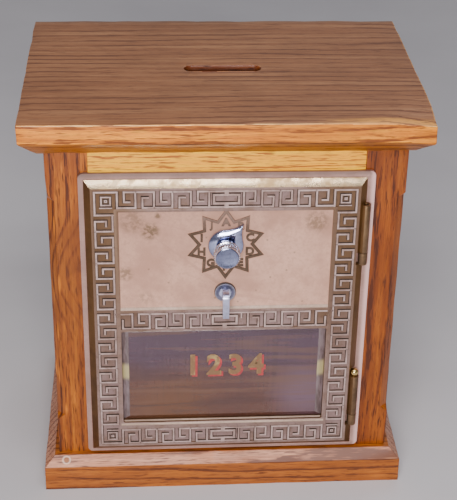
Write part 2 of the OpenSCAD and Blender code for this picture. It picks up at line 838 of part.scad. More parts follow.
module latch_cam() {
    color(brass) {
        difference() {
            rod(door_x, latch_z, cam_r, cam_y, cam_y + cam_t);
            rod(door_x, latch_z, cam_bore_r + fix_clear, cam_y - eps, cam_y + cam_t + eps);
            rod(door_x + cam_r + 1.2, latch_z, 2.4, cam_y - eps, cam_y + cam_t + eps);
        }
        rod(crank_x, crank_z, crank_pin_r, cam_y + cam_t - 0.5, bolt_y + bolt_t - 0.2);
    }
}

module latch_bolt() {
    slot_half = crank_pin_r + 0.15;
    slot_low = crank_z - crank_pin_r - slide_clear;
    slot_top = latch_z + crank_r + crank_pin_r + slide_clear;
    color(brass) difference() {
        union() {
            block([crank_x - yoke_half, bolt_y, yoke_low], [crank_x + yoke_half, bolt_y + bolt_t, yoke_top]);
            block([bolt_tip_x, bolt_y, bolt_z], [crank_x, bolt_y + bolt_t, bolt_z + bolt_h]);
        }
        block([crank_x - slot_half, bolt_y - eps, slot_low],
            [crank_x + slot_half, bolt_y + bolt_t + eps, slot_top]);
    }
}

module bolt_guide() {
    low = bolt_z - guide_wall;
    high = bolt_z + bolt_h + guide_wall;
    color(steel) difference() {
        union() {
            block([guide_x, door_back_y, low],
                [guide_x + guide_w, bolt_y + bolt_t + slide_clear + guide_back, high]);
            block([guide_x, door_back_y, low - guide_foot], [guide_x + guide_w, door_back_y + 2, high + guide_foot]);
        }
        block([guide_x - eps, bolt_y - slide_clear, bolt_z - slide_clear],
            [guide_x + guide_w + eps, bolt_y + bolt_t + slide_clear, bolt_z + bolt_h + slide_clear]);
        for (p = guide_points)
            rod(p[0], p[1], small_r + fix_clear, door_back_y - eps, door_back_y + 2 + eps);
    }
}

module guide_screws() {
    color(steel) for (p = guide_points) translate([p[0], door_back_y + 2, p[1]])
        rotate([-90, 0, 0]) screw(small_r, 2 + door_hole - slide_clear, small_head_r, small_head_h);
}

// ---- Lock case ----

// The outline of the case, taken in by t
module case_outline(t = 0) {
    translate([case_left + t, case_low + t])
        square([case_right - case_left - 2 * t, case_top - case_low - 2 * t]);
}

module lock_case() {
    color(dark) difference() {
        union() {
            difference() {
                slab(door_back_y, case_back_y) case_outline();
                slab(case_y, case_back_y + eps) case_outline(case_wall);
            }
            for (p = case_points) rod(p[0], p[1], corner_r, case_y - 0.1, case_back_y);
            rod(door_x, dial_z, spacer_r, case_y - 0.1, wheel_1_y - spacer_gap);
            rod(door_x, dial_z, post_r, case_y - 0.1, wheel_3_y - spacer_gap);
            rod(pivot_x, pivot_z, 2 * pivot_r, case_y - 0.1, lever_y - spacer_gap);
        }
        rod(door_x, dial_z, spindle_r + run_clear, door_back_y - eps, wheel_3_y);
        rod(door_x, latch_z, arbor_r + run_clear, door_back_y - eps, case_y + eps);
        rod(pivot_x, pivot_z, pivot_r + fix_clear, case_y + 1, lever_y);
        for (p = case_points)
            rod(p[0], p[1], small_r + fix_clear, door_back_y - eps, case_back_y + eps);
        block([case_left - eps, bolt_y - slide_clear, bolt_z - slide_clear],
            [case_left + case_wall + eps, bolt_y + bolt_t + slide_clear, bolt_z + bolt_h + slide_clear]);
    }
}

module lock_cover() {
    color(dark) difference() {
        slab(case_back_y, case_back_y + case_wall) case_outline();
        for (p = case_points)
            rod(p[0], p[1], small_r + fix_clear, case_back_y - eps, case_back_y + case_wall + eps);
    }
}

module case_screws() {
    l = case_wall + case_room + case_wall + door_hole - slide_clear;
    color(brass) for (p = case_points) translate([p[0], case_back_y + case_wall, p[1]])
        rotate([-90, 0, 0]) screw(small_r, l, small_head_r, small_head_h);
}

// ---- Fence ----

module fence_lever() {
    pivot = [pivot_x, pivot_z];
    color(steel) {
        difference() {
            slab(lever_y, lever_y + lever_t) {
                link_2d(pivot, [fence_x, fence_z], 1.7);
                link_2d(pivot, [tail_x, tail_z], 1.5);
                translate(pivot) circle(2 * pivot_r);
                translate([fence_x, fence_z]) circle(2.6);
            }
            rod(pivot_x, pivot_z, pivot_r + run_clear, lever_y - eps, lever_y + lever_t + eps);
        }
        rod(fence_x, fence_z, fence_r, case_y + 0.5, lever_y + 0.5);
        rod(tail_x, tail_z, 1.5, cam_y, lever_y + 0.5);
    }
}

module fence_pivot() {
    y1 = lever_y + lever_t + spacer_gap;
    color(brass) translate([pivot_x, y1, pivot_z]) rotate([-90, 0, 0])
        screw(pivot_r, y1 - case_y - 1 - slide_clear, 1.8 * pivot_r, 1.4);
}

module fence_spring() {
    half_t = 0.2;
    wall_x = case_right - case_wall - half_t;
    tip_x = fence_x + 2.6 + slide_clear + half_t;
    foot = [wall_x, fence_z - 12];
    bend = [wall_x, fence_z - 6];
    tip = [tip_x, fence_z];
    color(steel) slab(lever_y - 1, lever_y + lever_t + 1) {
        link_2d(foot, bend, half_t);
        link_2d(bend, tip, half_t);
        link_2d(tip, tip + [0.6, 1.5], half_t);
    }
}

base_board();
left_side();
right_side();
top_rail();
bottom_rail();
back_panel();
top_board();
top_dowels();
base_screws();
back_screws();
door_frame();
frame_screws();
door_panel();
upper_hinge_pin();
lower_hinge_pin();
glass_pane();
glass_retainer();
retainer_screws();
dial_pointer();
dial_knob();
dial_spindle();
spindle_nut();
front_tumbler();
rear_tumbler();
drive_wheel();
wheel_spacers();
latch_socket();
latch_lever();
latch_cam();
latch_bolt();
bolt_guide();
guide_screws();
lock_case();
lock_cover();
case_screws();
fence_lever();
fence_pivot();
fence_spring();
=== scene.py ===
# %% [markdown]
# # An oak coin bank with a letter-box door
#
# The real thing is a small oak case about 18 cm wide. Its front is a cast metal door from an old
# post-office letter box, with a letter dial, a small latch handle and a glass window.
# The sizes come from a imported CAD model, which is loaded first and stays where it is. Everything
# in this lesson is measured from that model, in metres, with Z up and the door facing -Y.

# %% Load the measured model
import math

import bmesh
import bpy
from mathutils import Matrix, Vector, noise


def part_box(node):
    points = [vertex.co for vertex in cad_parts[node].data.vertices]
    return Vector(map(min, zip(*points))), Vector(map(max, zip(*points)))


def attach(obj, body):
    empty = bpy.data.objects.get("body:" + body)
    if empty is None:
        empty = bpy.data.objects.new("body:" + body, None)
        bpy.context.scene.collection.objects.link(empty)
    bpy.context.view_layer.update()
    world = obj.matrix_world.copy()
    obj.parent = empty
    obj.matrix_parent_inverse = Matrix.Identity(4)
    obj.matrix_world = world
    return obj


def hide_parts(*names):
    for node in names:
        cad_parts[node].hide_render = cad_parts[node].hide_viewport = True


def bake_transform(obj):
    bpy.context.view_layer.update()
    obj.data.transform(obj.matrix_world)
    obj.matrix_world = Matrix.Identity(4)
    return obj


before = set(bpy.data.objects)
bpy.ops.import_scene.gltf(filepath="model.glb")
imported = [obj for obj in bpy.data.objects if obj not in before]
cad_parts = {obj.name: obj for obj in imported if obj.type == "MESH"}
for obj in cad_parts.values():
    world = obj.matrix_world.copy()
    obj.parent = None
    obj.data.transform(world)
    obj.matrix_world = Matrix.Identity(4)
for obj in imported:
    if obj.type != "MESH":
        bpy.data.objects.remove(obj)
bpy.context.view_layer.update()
MM = 0.001

# %% [markdown]
# ## Reading places from the model
#
# Each part of the model is a node with a box round it. The faces of those boxes give the planes
# that the looks need: where the door's face lies, where the dial turns, how tall the window is.
# The widths of the casting's rims, bands and panel are sizes of their own, so they are named first.

# %% Sizes of the casting
rim = 3.0 * MM             # sloped rim round the door's face
plain = 1.2 * MM           # plain strip between the rim and the border
band = 9.0 * MM            # width of the key border
relief = 0.6 * MM          # height of the raised lines
ring_stand = 0.8 * MM      # how far the latch's ring stands out of the face
mid_drop = 64.75 * MM      # from the top of the face to the middle band
panel_drop = 11.8 * MM     # from the top of the face to the painted panel
panel_height = 51.7 * MM
glass_tuck = 2.5 * MM      # how far the glass reaches behind the casting
print("border of", round(band / MM, 1), "mm, raised by", round(relief / MM, 1), "mm")

# %% Planes and centres
door_low, door_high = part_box("door_panel")
frame_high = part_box("door_frame")[1]
knob_low, knob_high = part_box("dial_knob")
glass_low, glass_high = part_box("glass_pane")
socket_low, socket_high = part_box("latch_socket")
pointer_low, pointer_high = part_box("dial_pointer")

face_left = door_low.x + rim
face_low = door_low.z + rim
face_high = door_high.z - rim
door_x = (knob_low.x + knob_high.x) / 2
face_right = 2 * door_x - face_left
dial_z = (knob_low.z + knob_high.z) / 2
latch_z = (socket_low.z + socket_high.z) / 2
face_y = socket_low.y + ring_stand
floor_y = face_y + relief
mid_z = face_high - mid_drop - band / 2
panel_high = face_high - panel_drop
panel_low = panel_high - panel_height
window_left = glass_low.x + glass_tuck
window_right = glass_high.x - glass_tuck
window_low = glass_low.z + glass_tuck
window_high = glass_high.z - glass_tuck
print("door face from", round(face_left / MM, 2), "to", round(face_right / MM, 2), "mm, dial at",
      round(dial_z / MM, 1), "mm, window height", round((window_high - window_low) / MM, 1), "mm")

# %% [markdown]
# ## Camera, floor and light
#
# The bank is seen from a little above and from the left, as on a table. A long lens keeps the
# upright lines calm. The light is a broad soft panel near the viewer, which makes the front
# brighter than the top, with two narrow strips high in front that the bevelled edges mirror. On
# the top board, painted shade on the top face and painted light on the front edge add to that. A
# floor and a plain grey surround fill the shadows.

# %% Camera
def aim(yaw, pitch, roll):
    """Turns three viewing angles in degrees into a camera's rotation."""
    y, p, r = (math.radians(v) for v in (yaw, pitch, roll))
    ahead = Vector((math.sin(y) * math.cos(p), math.cos(y) * math.cos(p), -math.sin(p)))
    right = Vector((math.cos(y), -math.sin(y), 0))
    up = right.cross(ahead)
    right, up = right * math.cos(r) + up * math.sin(r), up * math.cos(r) - right * math.sin(r)
    return Matrix((right, up, -ahead)).transposed().to_4x4()


EYE = (-0.035, -0.6066, 0.441)
YAW, PITCH, ROLL = 5.32, 28.81, 1.776
lens = bpy.data.cameras.new("view_camera")
lens.lens = 99.3
lens.sensor_fit = "VERTICAL"
lens.sensor_height = 36
lens.shift_x = -0.068
lens.shift_y = -0.0215
lens.clip_start = 0.01
camera = bpy.data.objects.new("view_camera", lens)
camera.matrix_world = Matrix.Translation(EYE) @ aim(YAW, PITCH, ROLL)
bpy.context.scene.collection.objects.link(camera)
bpy.context.scene.camera = camera
print("camera at", [round(v, 3) for v in camera.location])

# %% [markdown]
# ## A short way to write finishes
#
# A finish is a chain of nodes that ends in one Principled shader. Adding and linking nodes by hand
# takes many lines, so a small class does it: each call adds one node and gives back its output,
# which goes into the next call. Every pattern starts from the place on the piece in the model's own
# frame, so it has its real size and stays on the piece when the piece moves.

# %% Node helper for every finish
class Finish:
    """One material with short calls for the nodes that make it."""

    def __init__(self, name, **shader):
        self.material = bpy.data.materials.new(name)
        self.material.use_nodes = True
        self.tree = self.material.node_tree
        self.shader = self.tree.nodes["Principled BSDF"]
        for key, value in shader.items():
            self.shader.inputs[key.replace("_", " ")].default_value = value
        self.place = self.node("TexCoord").outputs["Object"]

    def node(self, kind, *sources, **values):
        """Adds a node. Sources fill its inputs in order, and values are inputs or settings."""
        made = self.tree.nodes.new("ShaderNode" + kind)
        for key, value in values.items():
            if key[0].islower():
                setattr(made, key, value)
        for slot, source in enumerate(sources):
            self.feed(made.inputs[slot], source)
        for key, value in values.items():
            if key[0].isupper():
                self.feed(made.inputs[key.replace("_", " ")], value)
        return made

    def feed(self, socket, source):
        """Links a socket to another, or sets it to a plain value."""
        if isinstance(source, bpy.types.NodeSocket):
            self.tree.links.new(source, socket)
        elif source is not None:
            socket.default_value = source

    def math(self, operation, a, b=0.0, c=None):
        return self.node("Math", a, b, c, operation=operation).outputs[0]

    def vector(self, operation, a, b=None):
        return self.node("VectorMath", a, b, operation=operation).outputs[0]

    def length(self, source):
        return self.node("VectorMath", source, operation="LENGTH").outputs["Value"]

    def away(self, spot):
        """How far the place on the piece is from a spot."""
        return self.node("VectorMath", self.place, spot, operation="DISTANCE").outputs["Value"]

    def moved(self, at=(0, 0, 0), turn=(0, 0, 0), size=(1, 1, 1), source=None):
        """The place on the piece, shifted, turned and stretched."""
        return self.node("Mapping", source or self.place, Location=at,
                         Rotation=[math.radians(t) for t in turn], Scale=size).outputs[0]

    def noise(self, source, scale, detail=3.0, rough=0.5, twist=0.0):
        return self.node("TexNoise", source, Scale=scale, Detail=detail, Roughness=rough,
                         Distortion=twist).outputs[0]

    def cells(self, source, scale, feature="F1", output="Distance"):
        return self.node("TexVoronoi", source, feature=feature, Scale=scale).outputs[output]

    def between(self, value, low, high, to_low=0.0, to_high=1.0):
        """Spreads low..high over a new span, with soft ends."""
        made = self.node("MapRange", value, low, high, to_low, to_high,
                         interpolation_type="SMOOTHSTEP")
        return made.outputs[0]

    def ramp(self, value, *stops):
        """A colour scale: each stop is a position and a linear colour."""
        made = self.node("ValToRGB", value)
        scale = made.color_ramp.elements
        while len(scale) < len(stops):
            scale.new(0.5)
        for step, (where, colour) in zip(scale, stops):
            step.position = where
            step.color = (*colour, 1)
        return made.outputs[0]

    def mix(self, amount, a, b, blend="MIX"):
        made = self.node("Mix", data_type="RGBA", blend_type=blend)
        self.feed(made.inputs[0], amount)
        for slot, colour in ((6, a), (7, b)):
            if isinstance(colour, tuple):
                colour = (*colour, 1)
            self.feed(made.inputs[slot], colour)
        return made.outputs[2]

    def colour(self, source):
        colour = (*source, 1) if isinstance(source, tuple) else source
        self.feed(self.shader.inputs["Base Color"], colour)

    def rough(self, source):
        self.feed(self.shader.inputs["Roughness"], source)

    def bump(self, height, depth, strength=1.0, under=None):
        """Raises the surface by height times depth, in metres."""
        made = self.node("Bump", Strength=strength, Distance=depth, Height=height, Normal=under)
        self.feed(self.shader.inputs["Normal"], made.outputs[0])
        return made.outputs[0]

    def axis(self, name):
        """One coordinate of the place on the piece."""
        return self.node("SeparateXYZ", self.place).outputs[name]


# %% Floor and lights
FLOOR_REACH = 2.5
FLOOR_DARK, FLOOR_PALE = (0.60, 0.585, 0.60), (0.66, 0.645, 0.66)


def pale_floor():
    """A plain matt floor with a very faint mottle, just under the bank."""
    finish = Finish("floor_matt", Roughness=0.6)
    cloud = finish.noise(finish.place, 9.0, 4.0)
    finish.colour(finish.ramp(cloud, (0.3, FLOOR_DARK), (0.7, FLOOR_PALE)))
    corners = [(x * FLOOR_REACH, y * FLOOR_REACH, 0) for x, y in ((-1, -1), (1, -1), (1, 1), (-1, 1))]
    mesh = bpy.data.meshes.new("floor")
    mesh.from_pydata(corners, [], [(0, 1, 2, 3)])
    mesh.materials.append(finish.material)
    floor = bpy.data.objects.new("floor", mesh)
    bpy.context.scene.collection.objects.link(floor)


def soft_panel(name, at, target, width, height, watts, tint):
    """An area light that faces a target."""
    light = bpy.data.lights.new(name, "AREA")
    light.shape = "RECTANGLE"
    light.size = width
    light.size_y = height
    light.energy = watts
    light.color = tint
    lamp = bpy.data.objects.new(name, light)
    lamp.location = at
    lamp.rotation_euler = (Vector(target) - Vector(at)).to_track_quat("-Z", "Y").to_euler()
    bpy.context.scene.collection.objects.link(lamp)


def grey_surround(strength, tint):
    """An even pale light from all round, which fills the shadows."""
    world = bpy.data.worlds.new("surround")
    world.use_nodes = True
    background = world.node_tree.nodes["Background"]
    background.inputs["Color"].default_value = (*tint, 1)
    background.inputs["Strength"].default_value = strength
    bpy.context.scene.world = world


LIGHTS = [
    # name, place, target, width, height, watts, tint
    ("front_panel", (-0.10, -0.78, 0.38), (0, 0, 0.11), 0.36, 0.26, 7.0, (1.0, 0.95, 0.93)),
    ("high_strip", (0.03, -0.72, 1.20), (0, -0.05, 0.12), 0.9, 0.11, 3.4, (1.0, 0.96, 1.0)),
    ("near_strip", (0.03, -0.49, 1.20), (0, -0.05, 0.02), 0.9, 0.11, 3.0, (0.97, 0.95, 1.0)),
    ("rear_panel", (0.4, 0.8, 1.3), (0, 0, 0.12), 0.6, 0.6, 2.5, (0.93, 0.95, 1.0)),
]
pale_floor()
grey_surround(0.22, (0.98, 0.95, 1.0))
for light in LIGHTS:
    soft_panel(*light)

# %% [markdown]
# ## The oak
#
# Oak is a ring-porous wood: every year it lays down a band of open pores and then a dense, smooth
# band. A board is a slice through those rings, so one 3-D pattern gives every face of the board the
# right figure: long flames on the wide faces and short marks on the ends. The rings here are
# distances from a tree's heart that lies outside the board, bent a little by noise. Pores are noise
# stretched along the grain, and the pale flecks are the rays that cross the rings. A clear coat on
# top is the varnish. Each board has its own heart and its own tone.

# %% Oak finish
GRAIN_TURN = {"X": (0, 0, 0), "Z": (0, 90, 0)}
# Patterns per metre: along the grain, across the rings, along the rings
DRIFT, PATCHY = (5, 24, 24), (14, 60, 60)
STREAKS, FINE_PORES = (85, 1150, 1150), (190, 2600, 2600)
BROAD_TONE, RAYS = (12, 330, 330), (30, 420, 170)
HEART_TAPER = (0.02, 1, 1)
PORE_EDGE = 0.60
# The pit is painted, not cut: its dark ground is painted shade inside the hole
PIT_RIM, PIT_SHADE = (0.86, 0.60, 0.42), (0.34, 0.10, 0.006)


def oak(name, grain, heart, tones, ring=2.6 * MM, knot=None, fleck=0.3, coat=0.22, bands=0.3, pore=0.85,
        sway=8 * MM, gloss=0.2, dashes=0.02, cloudy=0.35, rub=None, pit=None):
    """Varnished oak. Tones are the light, middle and pore colours, heart is the tree's centre line
    in the turned space (along, across, up), knot is (place, radius, strength), bands is how strongly
    the rings show, sway is how far they wander, dashes adds more open pores, cloudy is how dark the
    stain's patches are, rub is (place, radii, tone) of a worn spot and pit is the place of a hole."""
    finish = Finish(name, Coat_Weight=coat, Coat_Roughness=gloss, Specular_IOR_Level=0.35)
    light, middle, dark = tones
    turned = finish.moved(turn=GRAIN_TURN[grain])
    # How far each point is from the tree's heart, bent by drift and by the knot
    drift = finish.noise(finish.moved(size=DRIFT, source=turned), 1.0, 3.0, 0.55)
    centred = finish.vector("ADD", turned, tuple(-v for v in heart))
    reach = finish.length(finish.vector("MULTIPLY", centred, HEART_TAPER))
    reach = finish.math("MULTIPLY_ADD", drift, sway, reach)
    if knot:
        place, radius, strength = knot
        away = finish.away(place)
        reach = finish.math("ADD", reach, finish.between(away, 0.0, radius, strength, 0.0))
    # The porous first part of each year's ring
    ring_at = finish.math("FRACT", finish.math("DIVIDE", reach, ring))
    early = finish.math("MULTIPLY", finish.between(ring_at, 0.12, 0.42, 1.0, 0.0),
                        finish.between(ring_at, 0.0, 0.08))
    patchy = finish.noise(finish.moved(size=PATCHY, source=turned), 1.0, 2.0, 0.5)
    early = finish.math("MULTIPLY", early, finish.between(patchy, 0.35, 0.62, 0.25, 1.0))
    # Long and short pores, more of them in that part
    streak = finish.noise(finish.moved(size=STREAKS, source=turned), 1.0, 2.0, 0.6)
    fine = finish.noise(finish.moved(size=FINE_PORES, source=turned), 1.0, 2.0, 0.5)
    broad = finish.noise(finish.moved(size=BROAD_TONE, source=turned), 1.0, 4.0, 0.7)
    pores = finish.between(finish.math("MULTIPLY_ADD", early, 0.22, streak), PORE_EDGE - dashes,
                           PORE_EDGE + 0.1 - dashes)
    small = finish.between(finish.math("MULTIPLY_ADD", early, 0.12, fine), 0.54, 0.68)
    open_grain = finish.math("MAXIMUM", pores, finish.math("MULTIPLY", small, 0.5))
    # Tones, pores, rays and stain
    shade = finish.math("MULTIPLY_ADD", early, bands, broad)
    wood = finish.ramp(shade, (0.34, light), (0.58, middle),
                       (0.95, tuple(0.55 * m + 0.45 * d for m, d in zip(middle, dark))))
    wood = finish.mix(finish.math("MULTIPLY", open_grain, pore), wood, dark)
    ray = finish.cells(finish.moved(size=RAYS, source=turned), 1.0)
    ray = finish.math("MULTIPLY", finish.between(ray, 0.08, 0.20, 1.0, 0.0), fleck)
    wood = finish.mix(ray, wood, tuple(min(1.0, v * 1.5) for v in light))
    cloud = finish.noise(finish.place, 26.0, 3.0, 0.6)
    wood = finish.mix(finish.between(cloud, 0.40, 0.72, 0.0, cloudy), wood,
                      tuple(v * 0.55 for v in middle))
    if knot:
        stain = finish.math("MULTIPLY", finish.between(away, 0.1 * radius, 0.42 * radius, 0.75, 0.0),
                            finish.between(finish.noise(finish.place, 120.0, 3.0), 0.35, 0.6))
        wood = finish.mix(stain, wood, dark)
        wood = finish.mix(finish.between(away, 0.5 * radius, 1.3 * radius, 0.45, 0.0), wood,
                          tuple(v * 0.5 for v in middle))
    if rub:
        place, radii, tone = rub
        off = finish.vector("SUBTRACT", finish.place, place)
        off = finish.length(finish.vector("MULTIPLY", off, tuple(1 / r for r in radii)))
        worn = finish.between(finish.math("MULTIPLY_ADD", broad, 0.7, off), 0.85, 1.35, 0.85, 0.0)
        wood = finish.mix(worn, wood, finish.mix(open_grain, tone, middle))
    if pit:
        away = finish.away(pit)
        lip = finish.math("MULTIPLY", finish.between(away, 1.3 * MM, 1.7 * MM),
                          finish.between(away, 1.9 * MM, 2.5 * MM, 0.7, 0.0))
        wood = finish.mix(lip, wood, PIT_RIM)
        # Painted shade of the pit's hole
        wood = finish.mix(finish.between(away, 0.9 * MM, 1.5 * MM, 0.9, 0.0), wood, PIT_SHADE)
    finish.colour(wood)
    finish.rough(finish.between(open_grain, 0.0, 1.0, 0.38, 0.62))
    finish.bump(finish.math("SUBTRACT", 1.0, open_grain), 0.10 * MM, 0.45)
    waves = finish.noise(finish.place, 90.0, 2.0)
    coated = finish.node("Bump", Strength=0.25, Distance=0.25 * MM, Height=waves)
    finish.feed(finish.shader.inputs["Coat Normal"], coated.outputs[0])
    return finish.material


# %% Tones of the boards
# Each is the light, middle and pore colour
# The top board's faces share one oak pattern in lit and shaded copies: the top face is darker (painted
# shade), the front edge brighter (painted light), and the underside and coin slot darker (painted shade)
TOP_SHADED_TONES = ((0.47, 0.215, 0.090), (0.33, 0.130, 0.048), (0.10, 0.036, 0.018))
EDGE_LIT_TONES = ((1.0, 0.370, 0.014), (0.64, 0.185, 0.006), (0.13, 0.026, 0.002))
UNDER_SHADE_TONES = ((0.44, 0.140, 0.004), (0.30, 0.085, 0.002), (0.09, 0.020, 0.001))
STILE_TONES = ((0.56, 0.165, 0.0030), (0.290, 0.066, 0.0010), (0.050, 0.007, 0.0008))
RIGHT_TONES = ((0.42, 0.108, 0.0015), (0.225, 0.046, 0.0006), (0.045, 0.006, 0.0005))
RAIL_TONES = ((1.0, 0.56, 0.006), (1.0, 0.43, 0.004), (0.36, 0.09, 0.004))
BASE_TONES = ((0.50, 0.145, 0.010), (0.32, 0.082, 0.005), (0.09, 0.018, 0.002))
# The base's sloped edge: paler tones that paint the sheen of its varnish
BEVEL_SHEEN_TONES = ((0.70, 0.31, 0.16), (0.50, 0.18, 0.08), (0.12, 0.035, 0.015))
# Paler rounded edges of the top board: wear and a painted highlight
WORN_HIGHLIGHT_TONES = ((1.0, 0.60, 0.20), (0.92, 0.40, 0.09), (0.30, 0.08, 0.02))
SLOT_SHADE_TONES = ((0.24, 0.065, 0.016), (0.15, 0.036, 0.009), (0.05, 0.010, 0.003))

print("middle tone of the top board:", TOP_SHADED_TONES[1])

# %% One oak for each board
top_low, top_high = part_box("top_board")
side_low, side_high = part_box("left_side")
base_low, base_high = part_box("base_board")
TOP_HEART = (0, 0.30, -0.12)
TOP_RING, TOP_SWAY = 4.1 * MM, 12 * MM
top_rub = ((top_high.x, top_low.y, top_high.z), (62 * MM, 9 * MM, 12 * MM), (0.92, 0.40, 0.055))
# Painted shade and light: darker copies of this oak for the top face, underside and slot, and a brighter
# copy for the front edge
top_shaded_oak = oak("top_shaded_oak", "X", TOP_HEART, TOP_SHADED_TONES, ring=TOP_RING, fleck=0.08, coat=0.45, bands=0.26,
              pore=0.62, sway=TOP_SWAY, gloss=0.28, dashes=0.01, rub=top_rub)
edge_lit_oak = oak("edge_lit_oak", "X", TOP_HEART, EDGE_LIT_TONES, ring=TOP_RING, fleck=0.15, bands=0.4,
               sway=TOP_SWAY, dashes=0.04)
under_shade_oak = oak("under_shade_oak", "X", TOP_HEART, UNDER_SHADE_TONES, ring=TOP_RING, fleck=0.1, sway=TOP_SWAY)
worn_highlight_oak = oak("worn_highlight_oak", "X", TOP_HEART, WORN_HIGHLIGHT_TONES, ring=TOP_RING, fleck=0.2, coat=0.5,
               sway=TOP_SWAY, dashes=0.03)
slot_shade_oak = oak("slot_shade_oak", "X", TOP_HEART, SLOT_SHADE_TONES, ring=TOP_RING, fleck=0.1, sway=TOP_SWAY)
left_oak = oak("left_oak", "Z", (0, -0.02, 0.135), STILE_TONES, ring=5.2 * MM, sway=16 * MM, bands=0.45,
               knot=((-0.062, -0.055, 0.118), 0.034, 0.014), fleck=0.9, dashes=0.03, cloudy=0.6)
right_oak = oak("right_oak", "Z", (0, -0.052, -0.066), RIGHT_TONES, ring=5.6 * MM, sway=16 * MM,
                bands=0.4, dashes=0.03)
rail_oak = oak("rail_oak", "X", (0, -0.06, 0.12), RAIL_TONES, ring=2.6 * MM, fleck=0.1, pore=0.95,
               bands=0.45, dashes=0.06, cloudy=0.15)
low_rail_oak = oak("low_rail_oak", "X", (0, -0.03, -0.10), STILE_TONES, ring=2.4 * MM)
BASE_HEART = (0, 0.16, -0.16)
base_pit = (base_low.x + 10.6 * MM, base_low.y + 3.3 * MM, base_high.z - 2.2 * MM)
base_oak = oak("base_oak", "X", BASE_HEART, BASE_TONES, ring=3.6 * MM, coat=0.3, sway=12 * MM,
               dashes=0.04)
bevel_sheen_oak = oak("bevel_sheen_oak", "X", BASE_HEART, BEVEL_SHEEN_TONES, ring=3.6 * MM, coat=0.6, sway=12 * MM,
                gloss=0.26, dashes=0.05, pit=base_pit)
back_oak = oak("back_oak", "Z", (0, 0.16, 0.02), STILE_TONES, ring=4.2 * MM, coat=0.2, sway=20 * MM,
               dashes=0.0)
print("oak finishes:", [m.name for m in bpy.data.materials if m.name.endswith("_oak")])

# %% [markdown]
# ## Boards with softened edges
#
# A planed and sanded board never ends in a knife edge. Each board is a copy of its measured node:
# the loose triangles are joined, the flat areas are cleaned, and a Bevel modifier rounds every
# sharp edge. The modifier is then made part of the mesh, so that the edges can be worn: points
# near an edge move by a little smooth noise.

# %% Board helpers
def shown(name, mesh, body, material, replaced=()):
    """Puts a finished mesh into the scene as a piece that rides on a body."""
    piece = bpy.data.objects.new(name, mesh)
    bpy.context.scene.collection.objects.link(piece)
    if material:
        mesh.materials.clear()
        mesh.materials.append(material)
    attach(piece, body)
    if replaced:
        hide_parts(*replaced)
    return piece


def clean_copy(node, flat=0.6):
    """A copy of a node's mesh with its triangles joined into clean faces."""
    form = bmesh.new()
    form.from_mesh(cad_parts[node].data)
    bmesh.ops.remove_doubles(form, verts=form.verts, dist=1e-6)
    bmesh.ops.dissolve_limit(form, angle_limit=math.radians(flat), verts=form.verts, edges=form.edges)
    return form


def as_mesh(name, form):
    """Turns an edited form into a mesh and frees the form."""
    mesh = bpy.data.meshes.new(name)
    form.to_mesh(mesh)
    form.free()
    return mesh


def with_modifier(name, mesh, kind, **settings):
    """Applies one modifier to a mesh and returns the result as a plain mesh."""
    holder = bpy.data.objects.new(name + "_holder", mesh)
    bpy.context.scene.collection.objects.link(holder)
    modifier = holder.modifiers.new(kind.title(), kind)
    for key, value in settings.items():
        setattr(modifier, key, value)
    ready = holder.evaluated_get(bpy.context.evaluated_depsgraph_get())
    result = bpy.data.meshes.new_from_object(ready)
    result.name = name
    bpy.data.objects.remove(holder)
    return result


def soften(name, mesh, width, segments=3, angle=30):
    """Rounds the sharp edges of a mesh."""
    return with_modifier(name, mesh, "BEVEL", width=width, segments=segments, limit_method="ANGLE",
                         angle_limit=math.radians(angle), use_clamp_overlap=True)


def smooth_faces(mesh, angle=40):
    """Shades smooth across gentle edges and keeps the others crisp."""
    mesh.shade_smooth()
    form = bmesh.new()
    form.from_mesh(mesh)
    for edge in form.edges:
        edge.smooth = not (len(edge.link_faces) == 2 and edge.calc_face_angle(0) > math.radians(angle))
    form.to_mesh(mesh)
    form.free()
    return mesh


def divide(form, axes, step):
    """Cuts a form across some axes every step, so that long edges can be moved."""
    for axis in axes:
        values = [v.co[axis] for v in form.verts]
        at = min(values) + 0.7 * step
        across = Vector([1.0 if i == axis else 0.0 for i in range(3)])
        while at < max(values) - step / 2:
            bmesh.ops.bisect_plane(form, geom=form.verts[:] + form.edges[:] + form.faces[:],
                                   plane_co=across * at, plane_no=across)
            at += step


EDGE_TURN = 0.15     # a point on a turn sharper than this, in radians, is on an edge
WEAR_SCALE = 90      # patches of wear per metre
WEAR_SHARE = 0.35    # more than 0 wears more than half of the edge


def board(node, materials, radius, wear, axes, step=7 * MM, dents=(), pick=None):
    """A softened, slightly worn board that stands for its node. Dents are (place, radius, push),
    and pick gives the number of a face's finish."""
    mesh = soften(node + "_board", as_mesh(node, clean_copy(node)), radius)
    form = bmesh.new()
    form.from_mesh(mesh)
    divide(form, axes, step)
    form.normal_update()
    for vert in form.verts:
        edges = (e for e in vert.link_edges if len(e.link_faces) == 2)
        if max((e.calc_face_angle(0) for e in edges), default=0) > EDGE_TURN:
            vert.co -= vert.normal * wear * max(0.0, noise.noise(vert.co * WEAR_SCALE) + WEAR_SHARE)
        for place, size, push in dents:
            near = 1 - (vert.co - Vector(place)).length / size
            if near > 0:
                vert.co += Vector(push) * near * near * (3 - 2 * near)
    form.to_mesh(mesh)
    form.free()
    smooth_faces(mesh, 35)
    for material in materials:
        mesh.materials.append(material)
    for face in mesh.polygons:
        face.material_index = pick(face) if pick else 0
    low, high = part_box(node)
    print(node, "board:", len(mesh.polygons), "faces,", [round(v / MM, 1) for v in high - low], "mm")
    return shown(node + "_board", mesh, "case", None, [node])


# %% Which face of the top has which finish
SHADED_TOP, LIT_EDGE, SHADED_UNDERSIDE, SHADED_SLOT, RUBBED_HIGHLIGHT = range(5)
SLOT_X, SLOT_Y = 20 * MM, 6 * MM    # half sizes of a box round the coin slot
LEVEL, NEARLY_LEVEL = 0.985, 0.85
SLOPED, TOWARDS = 0.25, 0.1


